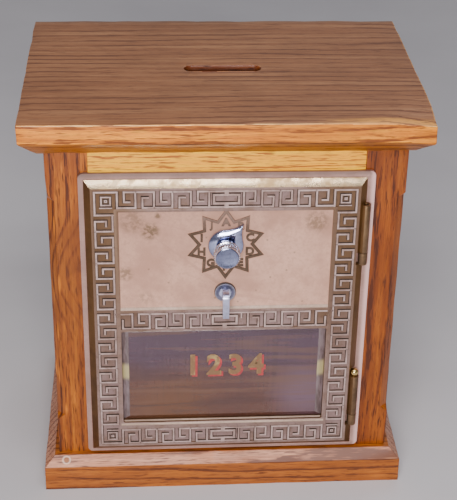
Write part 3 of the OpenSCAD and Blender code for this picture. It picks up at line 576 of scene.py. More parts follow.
def top_finish(face):
    """The paler rounded edges along the front and the right, away from the slot: worn, and with a
    painted highlight.
    """
    x, y, z = face.center
    normal = face.normal
    # Each face gets its oak by its direction: painted shade on the top face, underside and slot, painted
    # light on the front edge
    if normal.z > LEVEL:
        return SHADED_TOP
    looks_out = normal.y < -TOWARDS or normal.x > TOWARDS
    if normal.z > SLOPED and looks_out and (abs(x) > SLOT_X or y < -10 * MM):
        return RUBBED_HIGHLIGHT
    if normal.z > NEARLY_LEVEL:
        return SHADED_TOP
    if abs(x) < SLOT_X and abs(y) < SLOT_Y and z > top_low.z + MM:
        return SHADED_SLOT
    return SHADED_UNDERSIDE if normal.z < -SLOPED else LIT_EDGE


def base_finish(face):
    """1 for the sloped edge, whose paler tone paints the varnish's sheen, 0 for the rest."""
    return 1 if 0.3 < face.normal.z < 0.97 else 0


# %% The boards of the case
# A dent is its place, its radius and how far it pushes the wood
worn_corner = ((top_high.x, top_low.y, top_high.z), 24 * MM, (-0.5 * MM, 1.0 * MM, -2.2 * MM))
chipped_edge = ((side_low.x, side_low.y, side_high.z - 22 * MM), 6 * MM, (0.9 * MM, 0.7 * MM, 0))
board("top_board", [top_shaded_oak, edge_lit_oak, under_shade_oak, slot_shade_oak, worn_highlight_oak], 1.1 * MM, 0.45 * MM, (0, 1),
      dents=[worn_corner], pick=top_finish)
board("left_side", [left_oak], 0.7 * MM, 0.30 * MM, (2,), dents=[chipped_edge])
board("right_side", [right_oak], 0.7 * MM, 0.30 * MM, (2,))
board("top_rail", [rail_oak], 0.25 * MM, 0.0, (0,))
board("bottom_rail", [low_rail_oak], 0.25 * MM, 0.0, (0,))
board("back_panel", [back_oak], 0.5 * MM, 0.1 * MM, (2,))
board("base_board", [base_oak, bevel_sheen_oak], 0.9 * MM, 0.35 * MM, (0, 1), pick=base_finish)

# %% [markdown]
# ## The door's metals and paint
#
# The door is a casting of brass-coloured metal that has darkened. Its raised lines have been
# rubbed back to a pale, slightly pink silver, the sunk ground stays brown, the sloped rim has a
# painted highlight on its top and painted shade on its other faces, and the upper panel and the
# frame round the door carry a worn beige paint with a fine pebble texture. Each finish is a short
# list: a base colour broken up by noise, dirt in patches, a roughness that follows the dirt, and a
# bump for the skin of the casting.

# %% Metals
SKIN_SCALE = 1500.0    # grains of the casting's skin per metre
SKIN = 0.05 * MM


def aged_metal(name, clean, dirty, spread, scale, rough, metallic=0.9):
    """A metal whose tarnish lies in patches, with a fine skin. Spread says how much of it is dirty,
    and rough is the roughness of the clean and of the dirty parts."""
    finish = Finish(name, Metallic=metallic)
    patch = finish.noise(finish.place, scale, 5.0, 0.65)
    stain = finish.noise(finish.place, scale * 0.2, 3.0, 0.6)
    amount = finish.between(finish.math("MULTIPLY_ADD", stain, 0.6, finish.math("MULTIPLY", patch, 0.5)),
                            spread[0], spread[1])
    finish.colour(finish.mix(amount, clean, dirty))
    finish.rough(finish.between(amount, 0.0, 1.0, rough[0], rough[1]))
    finish.bump(finish.noise(finish.place, SKIN_SCALE, 3.0, 0.6), SKIN, 0.6)
    return finish.material


# %% Old paint
STAINS = [
    # right of the panel's left edge, below its top, radius, strength
    (14.0 * MM, 10.0 * MM, 6.0 * MM, 1.0),
    (17.6 * MM, 2.2 * MM, 2.2 * MM, 1.0),
    (6.0 * MM, 5.0 * MM, 8.0 * MM, 0.7),
    (2.5 * MM, 32.0 * MM, 5.0 * MM, 0.7),
    (window_right - window_left - 7.0 * MM, 6.0 * MM, 7.5 * MM, 0.6),
    (12.0 * MM, 45.0 * MM, 5.0 * MM, 0.35),
]


def old_paint(name, tone, shadow, stain=None, flange=None, pebble=0.12 * MM):
    """Beige paint on a casting: mottled and pebbled. Stain is the tone of the grease that has crept
    in, and flange is the tone of the frame's rubbed right strip, with the paint darker along its top
    edge."""
    finish = Finish(name, Roughness=0.5, Coat_Weight=0.15, Coat_Roughness=0.35)
    cloud = finish.noise(finish.place, 60.0, 4.0, 0.6)
    paint = finish.mix(finish.between(cloud, 0.35, 0.7), tone, shadow)
    grain = finish.noise(finish.place, 800.0, 2.0, 0.5)
    paint = finish.mix(finish.between(grain, 0.42, 0.72, 0.0, 0.5), paint, shadow)
    if stain:
        amount = None
        for right, down, radius, strength in STAINS:
            away = finish.away((window_left + right, face_y, panel_high - down))
            near = finish.between(away, 0.35 * radius, radius, strength, 0.0)
            amount = finish.math("MAXIMUM", amount, near) if amount else near
        crust = finish.noise(finish.place, 420.0, 5.0, 0.7)
        amount = finish.math("MULTIPLY", amount, finish.between(crust, 0.40, 0.56, 0.15, 1.0))
        paint = finish.mix(amount, paint, stain)
        dots = finish.between(finish.cells(finish.place, 150.0), 0.05, 0.10, 0.5, 0.0)
        paint = finish.mix(dots, paint, stain)
    edge = finish.node("NewGeometry").outputs["Pointiness"]
    paint = finish.mix(finish.between(edge, 0.54, 0.62, 0.0, 0.5), paint, shadow)
    if flange:
        # Darker along the flange's top edge
        darkening = finish.between(finish.axis("Z"), frame_high.z - 2.8 * MM, frame_high.z - 0.6 * MM,
                               0.0, 0.65)
        paint = finish.mix(darkening, paint, tuple(0.45 * v for v in shadow))
        rubbed = finish.between(finish.axis("X"), face_right + 4.0 * MM, face_right + 6.0 * MM,
                                0.0, 0.85)
        paint = finish.mix(rubbed, paint, flange)
    finish.colour(paint)
    finish.rough(finish.between(cloud, 0.3, 0.7, 0.42, 0.6))
    bumps = finish.cells(finish.place, 1100.0, "SMOOTH_F1")
    finish.bump(bumps, pebble, 0.5)
    return finish.material


# %% Chrome, and the rubbed parts of the casting
def bright_chrome(name, tint=(0.46, 0.50, 0.74), rough=(0.10, 0.24)):
    """Chrome with fine hazy wear and hairline scratches. The blue in its tint paints a reflection of
    sky.
    """
    finish = Finish(name, Metallic=1.0)
    haze = finish.noise(finish.place, 420.0, 4.0, 0.6)
    finish.colour(finish.mix(finish.between(haze, 0.4, 0.75), tint, tuple(v * 0.72 for v in tint)))
    hair = finish.noise(finish.moved(size=(3000, 3000, 220)), 1.0, 2.0, 0.6)
    wear = finish.math("MULTIPLY_ADD", hair, 0.5, finish.math("MULTIPLY", haze, 0.5))
    finish.rough(finish.between(wear, 0.4, 0.7, rough[0], rough[1]))
    finish.bump(hair, 0.01 * MM, 0.5)
    return finish.material


def worn_relief(name, brown, worn, metallic, rough):
    """The ground or star of the casting: brown where it is protected, rubbed to a greyish pink
    towards the middle of the level bands and lower down."""
    finish = Finish(name, Metallic=metallic)
    aside = finish.math("ABSOLUTE", finish.math("SUBTRACT", finish.axis("X"), door_x))
    rubbed = finish.math("MAXIMUM", finish.between(aside, 26 * MM, 50 * MM, 0.85, 0.0),
                         finish.between(finish.axis("Z"), 50 * MM, 130 * MM, 0.8, 0.0))
    patch = finish.noise(finish.place, 120.0, 4.0, 0.65)
    amount = finish.math("MULTIPLY", rubbed, finish.between(patch, 0.25, 0.6, 0.35, 1.0))
    tone = finish.mix(amount, brown, worn)
    darkening = finish.between(finish.noise(finish.place, 420.0, 4.0, 0.7), 0.5, 0.75, 0.0, 0.5)
    finish.colour(finish.mix(darkening, tone, tuple(v * 0.45 for v in brown)))
    finish.rough(finish.between(patch, 0.3, 0.7, rough[0], rough[1]))
    finish.bump(finish.noise(finish.place, SKIN_SCALE, 3.0, 0.6), SKIN, 0.6)
    return finish.material


def star_metal():
    """The star and its letters: dark brown, and rubbed to the paint's colour near the top."""
    finish = Finish("star_brass", Metallic=0.35)
    rubbed = finish.between(finish.axis("Z"), dial_z + 5 * MM, dial_z + 14 * MM, 0.0, 0.75)
    patch = finish.noise(finish.place, 300.0, 4.0, 0.65)
    amount = finish.math("MULTIPLY", rubbed, finish.between(patch, 0.3, 0.6, 0.5, 1.0))
    tone = finish.mix(finish.between(patch, 0.4, 0.7), (0.080, 0.048, 0.028), (0.140, 0.088, 0.058))
    finish.colour(finish.mix(amount, tone, (0.30, 0.19, 0.15)))
    finish.rough(finish.between(patch, 0.3, 0.7, 0.42, 0.6))
    finish.bump(finish.noise(finish.place, SKIN_SCALE, 3.0, 0.6), SKIN, 0.6)
    return finish.material


# %% Finishes of the door and the works
# Two copies of the rim's brass: bright for its top as a painted highlight, dark brown for its other
# faces as painted shade
lit_rim_brass = aged_metal("lit_rim_brass", (0.96, 0.74, 0.46), (0.50, 0.33, 0.16), (0.46, 0.68), 190.0,
                       (0.22, 0.4))
shaded_rim_brass = aged_metal("shaded_rim_brass", (0.130, 0.060, 0.016), (0.075, 0.032, 0.010), (0.45, 0.72), 110.0,
                       (0.34, 0.5), 0.5)
line_silver = aged_metal("line_silver", (0.56, 0.415, 0.385), (0.34, 0.230, 0.200), (0.44, 0.68), 260.0,
                         (0.36, 0.5), 0.45)
# Dark finish for the sides and feet of the raised lines: painted shade round them
line_side_shade = aged_metal("line_side_shade", (0.105, 0.072, 0.055), (0.045, 0.030, 0.022), (0.4, 0.7), 260.0,
                       (0.5, 0.65), 0.6)
ground_brass = worn_relief("ground_brass", (0.150, 0.082, 0.040), (0.31, 0.210, 0.205), 0.4, (0.42, 0.6))
plain_brass = worn_relief("plain_brass", (0.170, 0.098, 0.058), (0.33, 0.225, 0.205), 0.4, (0.4, 0.55))
star_brass = star_metal()
panel_paint = old_paint("panel_paint", (0.66, 0.380, 0.275), (0.48, 0.260, 0.185), (0.095, 0.066, 0.020))
frame_paint = old_paint("frame_paint", (0.48, 0.290, 0.250), (0.28, 0.160, 0.130),
                        flange=(0.74, 0.46, 0.43))
hinge_bronze = aged_metal("hinge_bronze", (0.27, 0.17, 0.09), (0.14, 0.085, 0.05), (0.4, 0.7), 200.0,
                          (0.30, 0.5))
ball_brass = aged_metal("ball_brass", (0.75, 0.56, 0.22), (0.45, 0.30, 0.12), (0.55, 0.8), 200.0,
                        (0.14, 0.3), 1.0)
works_brass = aged_metal("works_brass", (0.70, 0.50, 0.22), (0.40, 0.26, 0.11), (0.5, 0.75), 120.0,
                         (0.25, 0.45), 1.0)
works_steel = aged_metal("works_steel", (0.48, 0.48, 0.49), (0.24, 0.22, 0.21), (0.5, 0.75), 140.0,
                         (0.3, 0.5), 1.0)
dark_steel = aged_metal("dark_steel", (0.20, 0.20, 0.21), (0.10, 0.09, 0.09), (0.45, 0.7), 180.0,
                        (0.35, 0.55), 0.9)
chrome = bright_chrome("chrome")
dull_chrome = bright_chrome("dull_chrome", (0.36, 0.36, 0.44), (0.28, 0.42))
print("metals and paints:", len([m for m in bpy.data.materials if not m.name.endswith("_oak")]))

# %% [markdown]
# ## The door casting
#
# The casting keeps its measured shape, with edges rounded by the mould. Its finishes change from
# one area to the next, and the areas are bounded by planes of the model, so each face of the copy is
# given the finish of the area that its corners lie in: the bright top of the rim (painted highlight),
# the brown rest of it (painted shade), the plain strips, the sunk ground of the bands, the painted
# panel, the hinge barrels.

# %% Areas of the door
LIT_RIM, GROUND, PANEL, BARREL, SHADED_RIM, PLAIN_STRIP = range(6)
NEAR = 0.3 * MM


def area_of(corners, normal):
    """The finish number of a face of the door, from where its corners lie."""
    low = Vector([min(c[i] for c in corners) for i in range(3)])
    high = Vector([max(c[i] for c in corners) for i in range(3)])
    x, y, z = (low + high) / 2
    faces_out = normal.y < -0.9
    if low.x > face_right + 2.0 * MM and y < door_high.y - 1.1 * MM and abs(normal.z) < 0.9:
        return BARREL
    if low.z > panel_low - NEAR and high.z < panel_high + NEAR and \
            low.x > window_left - NEAR and high.x < window_right + NEAR:
        return PANEL
    if faces_out and face_y + NEAR < y < floor_y + 0.1 * MM:
        return GROUND
    if faces_out and y > face_y - NEAR and face_left - NEAR < x < face_right + NEAR:
        return PLAIN_STRIP
    # The rim's top gets the painted highlight and its other faces the painted shade
    return LIT_RIM if normal.z > 0.4 and z > face_high - 0.2 * MM else SHADED_RIM


# %% Door casting
def door_casting():
    """The door's own mesh with mould-rounded edges and a finish for each area."""
    mesh = soften("door_casting", as_mesh("door_casting", clean_copy("door_panel")), 0.18 * MM, 2, 25)
    smooth_faces(mesh, 30)
    for material in (lit_rim_brass, ground_brass, panel_paint, hinge_bronze, shaded_rim_brass, plain_brass):
        mesh.materials.append(material)
    for face in mesh.polygons:
        face.material_index = area_of([mesh.vertices[v].co for v in face.vertices], face.normal)
    shown("door_casting", mesh, "door", None, ["door_panel"])
    print("door casting:", len(mesh.polygons), "faces")


door_casting()

# %% [markdown]
# ## The key border
#
# A Greek key is one line that folds back on itself, over and over. One fold is enough: a wall along
# one edge, a rung across the band and a hook from the rung's far end. Geometry Nodes repeats that
# fold along a straight run and turns every second one over about the run, so that the hooks take
# turns from both edges. The line is as thick below the ground as above it, so a fold
# that is turned over looks the same.

# %% A raised line with sloped sides
LINE = 1.15 * MM     # width of the border's line
SLOPE = 0.16 * MM    # how far its sides lean inwards
THIN = 0.03 * MM     # thickness of the fillet at its foot
LAYER = 0.01 * MM    # tops that cross lie this much apart, so that no two share a plane


def offsets(points, distance, closed):
    """A line moved sideways, with mitred corners."""
    moved = []
    last = len(points) - 1
    for i, point in enumerate(points):
        before = points[i - 1] if i or closed else None
        after = points[(i + 1) % len(points)] if i < last or closed else None
        sides = []
        if before is not None:
            sides.append((point - before).normalized())
        if after is not None:
            sides.append((after - point).normalized())
        normals = [Vector((-s.y, s.x)) for s in sides]
        push = sum(normals, Vector((0, 0))).normalized()
        moved.append(point + push * distance / max(0.2, push.dot(normals[0])))
    return moved


def raised_line(form, points, width, height, closed=False, both=False, sink=0.2 * MM, foot=0.22 * MM):
    """Adds a raised line to a form. Points are (along, up) on the door's face, height is outwards.
    With both, the line is as thick behind its plane as before it. The foot is a thin fillet at the
    line's base; the foot and the sides take the dark finish that paints the shade round the line."""
    points = [Vector(p) for p in points]
    if not closed:
        points[0] = points[0] + (points[0] - points[1]).normalized() * width / 2
        points[-1] = points[-1] + (points[-1] - points[-2]).normalized() * width / 2
    middle = 0.35 * height
    levels = [(middle, width / 2), (height, width / 2 - SLOPE)]
    if foot:
        levels = [(-THIN if both else -sink, width / 2 + foot), (THIN, width / 2 + foot),
                  (THIN, width / 2)] + levels
    else:
        levels = [(-sink, width / 2)] + levels
    if both:
        levels = [(-height, width / 2 - SLOPE), (-middle, width / 2), (-THIN, width / 2)] + levels
    rings = []
    for out, half in levels:
        left = offsets(points, half, closed)
        right = offsets(points, -half, closed)
        rings.append([[form.verts.new((p.x, -out, p.y)) for p in side] for side in (left, right)])
    count = len(points)
    spans = range(count if closed else count - 1)
    made = []
    base, top = rings[0], rings[-1]
    for i in spans:
        j = (i + 1) % count
        for lower, upper in zip(rings, rings[1:]):
            made.append((form.faces.new((lower[0][i], lower[0][j], upper[0][j], upper[0][i])), 1))
            made.append((form.faces.new((lower[1][j], lower[1][i], upper[1][i], upper[1][j])), 1))
        made.append((form.faces.new((top[0][i], top[0][j], top[1][j], top[1][i])), 0))
        made.append((form.faces.new((base[0][j], base[0][i], base[1][i], base[1][j])), 0))
    if not closed:
        for end in (0, count - 1):
            for lower, upper in zip(rings, rings[1:]):
                side = (lower[0][end], upper[0][end], upper[1][end], lower[1][end])
                made.append((form.faces.new(side), 1))
    for face, finish in made:
        face.material_index = finish
    return form


def relief_mesh(name, form):
    """Finishes a relief: outward normals, silver tops, and dark sides that paint the shade round the
    lines.
    """
    bmesh.ops.recalc_face_normals(form, faces=form.faces)
    mesh = as_mesh(name, form)
    mesh.materials.append(line_silver)
    mesh.materials.append(line_side_shade)
    return mesh


# %% One fold of the key
HALF_TURN = math.pi
HOOK_OUT, HOOK_BACK = 0.62, 0.34    # how far the hook reaches and returns, in pitches
HOOK_DROP = 0.55                    # how far it drops, in band widths
edge = (band - LINE) / 2            # from the middle of a band to the line along its edge


def key_fold(pitch):
    """One fold of the key, from its rung at zero to the next rung."""
    drop = edge - HOOK_DROP * band
    form = bmesh.new()
    raised_line(form, [(pitch - LINE / 2, -edge), (0, -edge), (0, edge), (HOOK_OUT * pitch, edge),
                       (HOOK_OUT * pitch, drop), (HOOK_BACK * pitch, drop)], LINE, relief, both=True)
    return relief_mesh("key_fold", form)


print("line along a band's edge:", round(edge / MM, 2), "mm from its middle")


# %% The tree that repeats a fold
def new_tree(name, **inputs):
    """An empty Geometry Nodes tree with named inputs. Gives the tree, its two ends, and short
    names for adding and linking nodes."""
    tree = bpy.data.node_groups.new(name, "GeometryNodeTree")
    new_socket = tree.interface.new_socket
    for label, kind in inputs.items():
        new_socket(label.replace("_", " "), in_out="INPUT", socket_type="NodeSocket" + kind)
    new_socket("Geometry", in_out="OUTPUT", socket_type="NodeSocketGeometry")
    new, join = tree.nodes.new, tree.links.new
    return tree, new("NodeGroupInput"), new("NodeGroupOutput"), new, join


def sum_node(new, join, operation, first, second):
    """One sum of a socket and another socket or a plain number."""
    made = new("ShaderNodeMath")
    made.operation = operation
    join(first, made.inputs[0])
    if isinstance(second, bpy.types.NodeSocket):
        join(second, made.inputs[1])
    else:
        made.inputs[1].default_value = second
    return made.outputs[0]


def key_tree():
    """Repeats its own geometry along a run and turns every second copy over."""
    tree, given, result, new, join = new_tree(
        "key_run", Geometry="Geometry", Count="Int", Pitch="Float", Start="Vector", Turn="Float",
        Turned_Over_First="Int", Tops="Material")
    spacing = new("ShaderNodeCombineXYZ")
    join(given.outputs["Pitch"], spacing.inputs["X"])
    line = new("GeometryNodeMeshLine")
    join(given.outputs["Count"], line.inputs["Count"])
    join(spacing.outputs[0], line.inputs["Offset"])
    index = new("GeometryNodeInputIndex")
    place = sum_node(new, join, "ADD", index.outputs[0], given.outputs["Turned Over First"])
    odd = sum_node(new, join, "MODULO", place, 2)
    over = new("ShaderNodeCombineXYZ")
    join(sum_node(new, join, "MULTIPLY", odd, HALF_TURN), over.inputs["X"])
    copies = new("GeometryNodeInstanceOnPoints")
    join(line.outputs["Mesh"], copies.inputs["Points"])
    join(given.outputs["Geometry"], copies.inputs["Instance"])
    join(over.outputs[0], copies.inputs["Rotation"])
    real = new("GeometryNodeRealizeInstances")
    join(copies.outputs[0], real.inputs[0])
    swing = new("ShaderNodeCombineXYZ")
    join(given.outputs["Turn"], swing.inputs["Y"])
    laid = new("GeometryNodeTransform")
    join(real.outputs[0], laid.inputs["Geometry"])
    join(given.outputs["Start"], laid.inputs["Translation"])
    join(swing.outputs[0], laid.inputs["Rotation"])
    tops = new("GeometryNodeInputMaterialIndex")
    same = new("FunctionNodeCompare")
    same.data_type = "INT"
    same.operation = "EQUAL"
    join(tops.outputs[0], same.inputs[2])
    same.inputs[3].default_value = 0
    paint = new("GeometryNodeSetMaterial")
    join(laid.outputs[0], paint.inputs["Geometry"])
    join(same.outputs[0], paint.inputs["Selection"])
    join(given.outputs["Tops"], paint.inputs["Material"])
    join(paint.outputs[0], result.inputs[0])
    return tree


def grown(name, mesh, tree, **values):
    """Runs a Geometry Nodes tree on a mesh and returns the result as a plain mesh."""
    holder = bpy.data.objects.new(name + "_holder", mesh)
    bpy.context.scene.collection.objects.link(holder)
    modifier = holder.modifiers.new("nodes", "NODES")
    modifier.node_group = tree
    sockets = {s.name: s.identifier for s in tree.interface.items_tree
               if s.item_type == "SOCKET" and s.in_out == "INPUT"}
    for key, value in values.items():
        modifier[sockets[key.replace("_", " ")]] = value
    ready = holder.evaluated_get(bpy.context.evaluated_depsgraph_get())
    result = bpy.data.meshes.new_from_object(ready)
    bpy.data.objects.remove(holder)
    return result


# %% Eight runs of folds
key_run = key_tree()
outer_left = face_left + plain
outer_right = face_right - plain
outer_high = face_high - plain
outer_low = face_low + plain
top_mid = outer_high - band / 2
low_mid = outer_low + band / 2
LEVEL_FOLDS, SIDE_FOLDS, MID_FOLDS = 5, 14, 4
first_rung = 7.75 * MM     # from the middle of a level band to its first rung
mid_rung = 10.9 * MM       # the same in the middle band
corner = 10.6 * MM         # length of a corner along the level bands
side_corner = 12.0 * MM    # and along the upright ones
run_pitch = (outer_right - corner - door_x - first_rung) / LEVEL_FOLDS
side_pitch = (outer_high - outer_low - 2 * side_corner) / SIDE_FOLDS
mid_pitch = 8.03 * MM
runs = [
    # start along, start up, direction, pitch, count, turned over first
    (door_x + first_rung, top_mid, 0, run_pitch, LEVEL_FOLDS, 0),
    (door_x - first_rung, top_mid, HALF_TURN, run_pitch, LEVEL_FOLDS, 1),
    (door_x + first_rung, low_mid, 0, run_pitch, LEVEL_FOLDS, 1),
    (door_x - first_rung, low_mid, HALF_TURN, run_pitch, LEVEL_FOLDS, 0),
    (outer_left + band / 2, outer_low + side_corner, -HALF_TURN / 2, side_pitch, SIDE_FOLDS, 1),
    (outer_right - band / 2, outer_low + side_corner, -HALF_TURN / 2, side_pitch, SIDE_FOLDS, 0),
    (door_x + mid_rung, mid_z, 0, mid_pitch, MID_FOLDS, 1),
    (door_x - mid_rung, mid_z, HALF_TURN, mid_pitch, MID_FOLDS, 0),
]


def joined(name, meshes):
    """Puts several meshes into one."""
    form = bmesh.new()
    for mesh in meshes:
        form.from_mesh(mesh)
    result = as_mesh(name, form)
    for material in (line_silver, line_side_shade):
        result.materials.append(material)
    return result


folds = []
for along, up, turn, pitch, count, over in runs:
    folds.append(grown("key", key_fold(pitch), key_run, Count=count, Pitch=pitch,
                       Start=(along, floor_y, up), Turn=float(turn), Turned_Over_First=over,
                       Tops=line_silver))
shown("key_border", joined("key_border", folds), "door", None)
print("key border:", sum(r[4] for r in runs), "folds,", sum(len(m.polygons) for m in folds), "faces")

# %% [markdown]
# ## Corners, middle motifs, star and letters
#
# What does not repeat is drawn line by line with the same raised line: a square in each corner, a
# long ring in the middle of the level bands, and a ten-pointed star round the dial. The
# letters are Blender's own plain font, turned into a mesh before it is set in place.

# %% Corner and middle motifs
CORNERS = ((-1, -1), (1, -1), (1, 1), (-1, 1))
SQUARE_IN, SQUARE_DOWN = 5.6 * MM, 5.0 * MM                    # a corner square's middle
SQUARES = ((2.0 * MM, 1.0 * MM), (0.45 * MM, 0.8 * MM))        # half sizes and line widths
FOOT_HALF, FOOT_WIDTH = 2.4 * MM, 0.9 * MM
RING_HALF, RING_RISE, RING_LINE = 5.6 * MM, 2.1 * MM, 1.35 * MM
NOTCH_FROM, NOTCH_GAP, NOTCH_WIDTH = 2.9 * MM, 0.2 * MM, 2.2 * MM


def corner_motif(form, x, z, side_x, side_z):
    """Outer lines and the small squares of one corner. The sides are -1 or 1, towards the corner."""
    edge_x, edge_z = x - side_x * LINE / 2, z - side_z * LINE / 2
    inner_x, inner_z = x - side_x * (band - LINE / 2), z - side_z * (band - LINE / 2)
    lines = [(x - side_x * corner, inner_z), (x - side_x * corner, edge_z), (edge_x, edge_z),
             (edge_x, z - side_z * side_corner), (inner_x, z - side_z * side_corner)]
    raised_line(form, lines if side_z > 0 else lines[:-1], LINE, relief - LAYER)
    centre_x, centre_z = x - side_x * SQUARE_IN, z - side_z * SQUARE_DOWN
    for half, width in SQUARES:
        square = [(centre_x + sx * half, centre_z + sz * half) for sx, sz in CORNERS]
        raised_line(form, square, width, relief, closed=True)
    raised_line(form, [(centre_x - FOOT_HALF, inner_z), (centre_x + FOOT_HALF, inner_z)],
                FOOT_WIDTH, relief)


def middle_motif(form, z, reach):
    """A long ring, two notches and the edge lines across the middle of a level band."""
    ring = [(door_x + sx * RING_HALF, z + sz * RING_RISE) for sx, sz in CORNERS]
    raised_line(form, ring, RING_LINE, relief, closed=True)
    for side in (-1, 1):
        line_z = z + side * edge
        notch = [(door_x, z + side * NOTCH_FROM), (door_x, z + side * (edge - NOTCH_GAP))]
        raised_line(form, notch, NOTCH_WIDTH, relief - 3 * LAYER)
        raised_line(form, [(door_x - reach, line_z), (door_x + reach, line_z)], LINE,
                    relief - 2 * LAYER)


motifs = bmesh.new()
for sx, x in ((-1, outer_left), (1, outer_right)):
    for sz, z in ((-1, outer_low), (1, outer_high)):
        corner_motif(motifs, x, z, sx, sz)
for z, reach in ((top_mid, first_rung), (low_mid, first_rung), (mid_z, mid_rung)):
    middle_motif(motifs, z, reach)
print("motifs so far:", len(motifs.faces), "faces")

# %% Ends of the middle band
STUB_IN, STUB_DROP = 3.1 * MM, 2.6 * MM
END_REACH, END_RISE = 0.55, 0.05    # of a pitch, and of the band's width
band_end = door_x - outer_left - band
last = mid_rung + MID_FOLDS * mid_pitch
hook = last + END_REACH * mid_pitch
stub = mid_rung - STUB_IN
high_line, low_line = mid_z + edge, mid_z - edge
for side in (-1, 1):
    raised_line(motifs, [(door_x + side * mid_rung, high_line), (door_x + side * stub, high_line),
                         (door_x + side * stub, high_line - STUB_DROP)], LINE, relief - LAYER)
    raised_line(motifs, [(door_x + side * band_end, high_line), (door_x + side * last, high_line),
                         (door_x + side * last, low_line), (door_x + side * hook, low_line),
                         (door_x + side * hook, mid_z + END_RISE * band)], LINE, relief)
motif_mesh = relief_mesh("band_motifs", motifs)
motif_mesh.transform(Matrix.Translation((0, floor_y, 0)))
shown("band_motifs", motif_mesh, "door", None)
print("motifs:", len(motif_mesh.polygons), "faces")


# %% A sign as a mesh
def letter_mesh(sign, height, thickness, bold=0.0):
    """A sign as a mesh that stands in the XZ plane, centred on its own middle."""
    words = bpy.data.curves.new("sign", "FONT")
    words.body = sign
    words.size = 1.0
    words.extrude = 0.5
    words.offset = bold
    holder = bpy.data.objects.new("sign", words)
    bpy.context.scene.collection.objects.link(holder)
    ready = holder.evaluated_get(bpy.context.evaluated_depsgraph_get())
    mesh = bpy.data.meshes.new_from_object(ready)
    bpy.data.objects.remove(holder)
    xs = [v.co.x for v in mesh.vertices]
    ys = [v.co.y for v in mesh.vertices]
    tall = max(ys) - min(ys)
    middle = Vector(((max(xs) + min(xs)) / 2, (max(ys) + min(ys)) / 2, 0))
    for vert in mesh.vertices:
        flat = (vert.co - middle) * height / tall
        vert.co = Vector((flat.x, -vert.co.z * thickness, flat.y))
    return mesh


# %% Star and letters round the dial
LETTERS = "ABCDEFGHIJ"
STAR_OUTER, STAR_INNER = 17.0 * MM, 12.0 * MM
STAR_LINE, STAR_HEIGHT = 1.5 * MM, 0.5 * MM
LETTER_RING, LETTER_HEIGHT, LETTER_DEPTH, LETTER_BOLD = 11.6 * MM, 4.2 * MM, 0.9 * MM, 0.05


def round_dial(reach, angle):
    """A point (along, up) at a clockwise angle from the top of the dial."""
    return door_x + reach * math.sin(angle), dial_z + reach * math.cos(angle)


star = bmesh.new()
star_line = [round_dial(STAR_INNER if i % 2 else STAR_OUTER, math.pi * i / len(LETTERS))
             for i in range(2 * len(LETTERS))]
raised_line(star, star_line, STAR_LINE, STAR_HEIGHT, closed=True, foot=0)
for i, sign in enumerate(LETTERS):
    mesh = letter_mesh(sign, LETTER_HEIGHT, LETTER_DEPTH, LETTER_BOLD)
    x, z = round_dial(LETTER_RING, 2 * math.pi * i / len(LETTERS))
    mesh.transform(Matrix.Translation((x, 0, z)))
    star.from_mesh(mesh)
bmesh.ops.remove_doubles(star, verts=star.verts, dist=1e-6)
bmesh.ops.recalc_face_normals(star, faces=star.faces)
star_mesh = as_mesh("dial_star", star)
star_mesh.transform(Matrix.Translation((0, floor_y, 0)))
shown("dial_star", star_mesh, "door", star_brass)
print("star and letters:", len(star_mesh.polygons), "faces")

# %% [markdown]
# ## Knob, pointer and latch
#
# The dial's knob is a small turned barrel with a knurl, which is a ring of fine straight ridges for
# the fingers. One ridge is modelled, and Geometry Nodes sets copies of it round a circle. The
# pointer is a domed drop: rings of points follow its outline inwards and rise as they go. The latch
# is a round socket with a narrow handle that hangs down.

# %% The tree that sets ridges round an axis
def ring_tree():
    """Repeats its own geometry round the Y axis."""
    tree, given, result, new, join = new_tree(
        "ring_of_copies", Geometry="Geometry", Count="Int", Radius="Float", Centre="Vector",
        Finish="Material")
    circle = new("GeometryNodeMeshCircle")
    join(given.outputs["Count"], circle.inputs["Vertices"])
    join(given.outputs["Radius"], circle.inputs["Radius"])
    index = new("GeometryNodeInputIndex")
    step = sum_node(new, join, "DIVIDE", index.outputs[0], given.outputs["Count"])
    spin = new("ShaderNodeCombineXYZ")
    join(sum_node(new, join, "MULTIPLY", step, 2 * math.pi), spin.inputs["Z"])
    copies = new("GeometryNodeInstanceOnPoints")
    join(circle.outputs[0], copies.inputs["Points"])
    join(given.outputs["Geometry"], copies.inputs["Instance"])
    join(spin.outputs[0], copies.inputs["Rotation"])
    real = new("GeometryNodeRealizeInstances")
    join(copies.outputs[0], real.inputs[0])
    laid = new("GeometryNodeTransform")
    join(real.outputs[0], laid.inputs["Geometry"])
    join(given.outputs["Centre"], laid.inputs["Translation"])
    laid.inputs["Rotation"].default_value = (math.pi / 2, 0, 0)
    paint = new("GeometryNodeSetMaterial")
    join(laid.outputs[0], paint.inputs["Geometry"])
    join(given.outputs["Finish"], paint.inputs["Material"])
    join(paint.outputs[0], result.inputs[0])
    return tree


# %% Turned bodies and ridges
def turned_form(profile, centre, steps=96):
    """A body of revolution about a line along Y. The profile is (radius, y) from front to back."""
    form = bmesh.new()
    rings = []
    for radius, y in profile:
        if radius < 1e-7:
            rings.append([form.verts.new((centre[0], y, centre[1]))])
            continue
        angles = [2 * math.pi * i / steps for i in range(steps)]
        rings.append([form.verts.new((centre[0] + radius * math.cos(a), y,
                                      centre[1] + radius * math.sin(a))) for a in angles])
    for a, b in zip(rings, rings[1:]):
        for i in range(steps):
            j = (i + 1) % steps
            if len(a) == 1:
                form.faces.new((a[0], b[i], b[j]))
            elif len(b) == 1:
                form.faces.new((a[i], a[j], b[0]))
            else:
                form.faces.new((a[i], a[j], b[j], b[i]))
    bmesh.ops.recalc_face_normals(form, faces=form.faces)
    return form


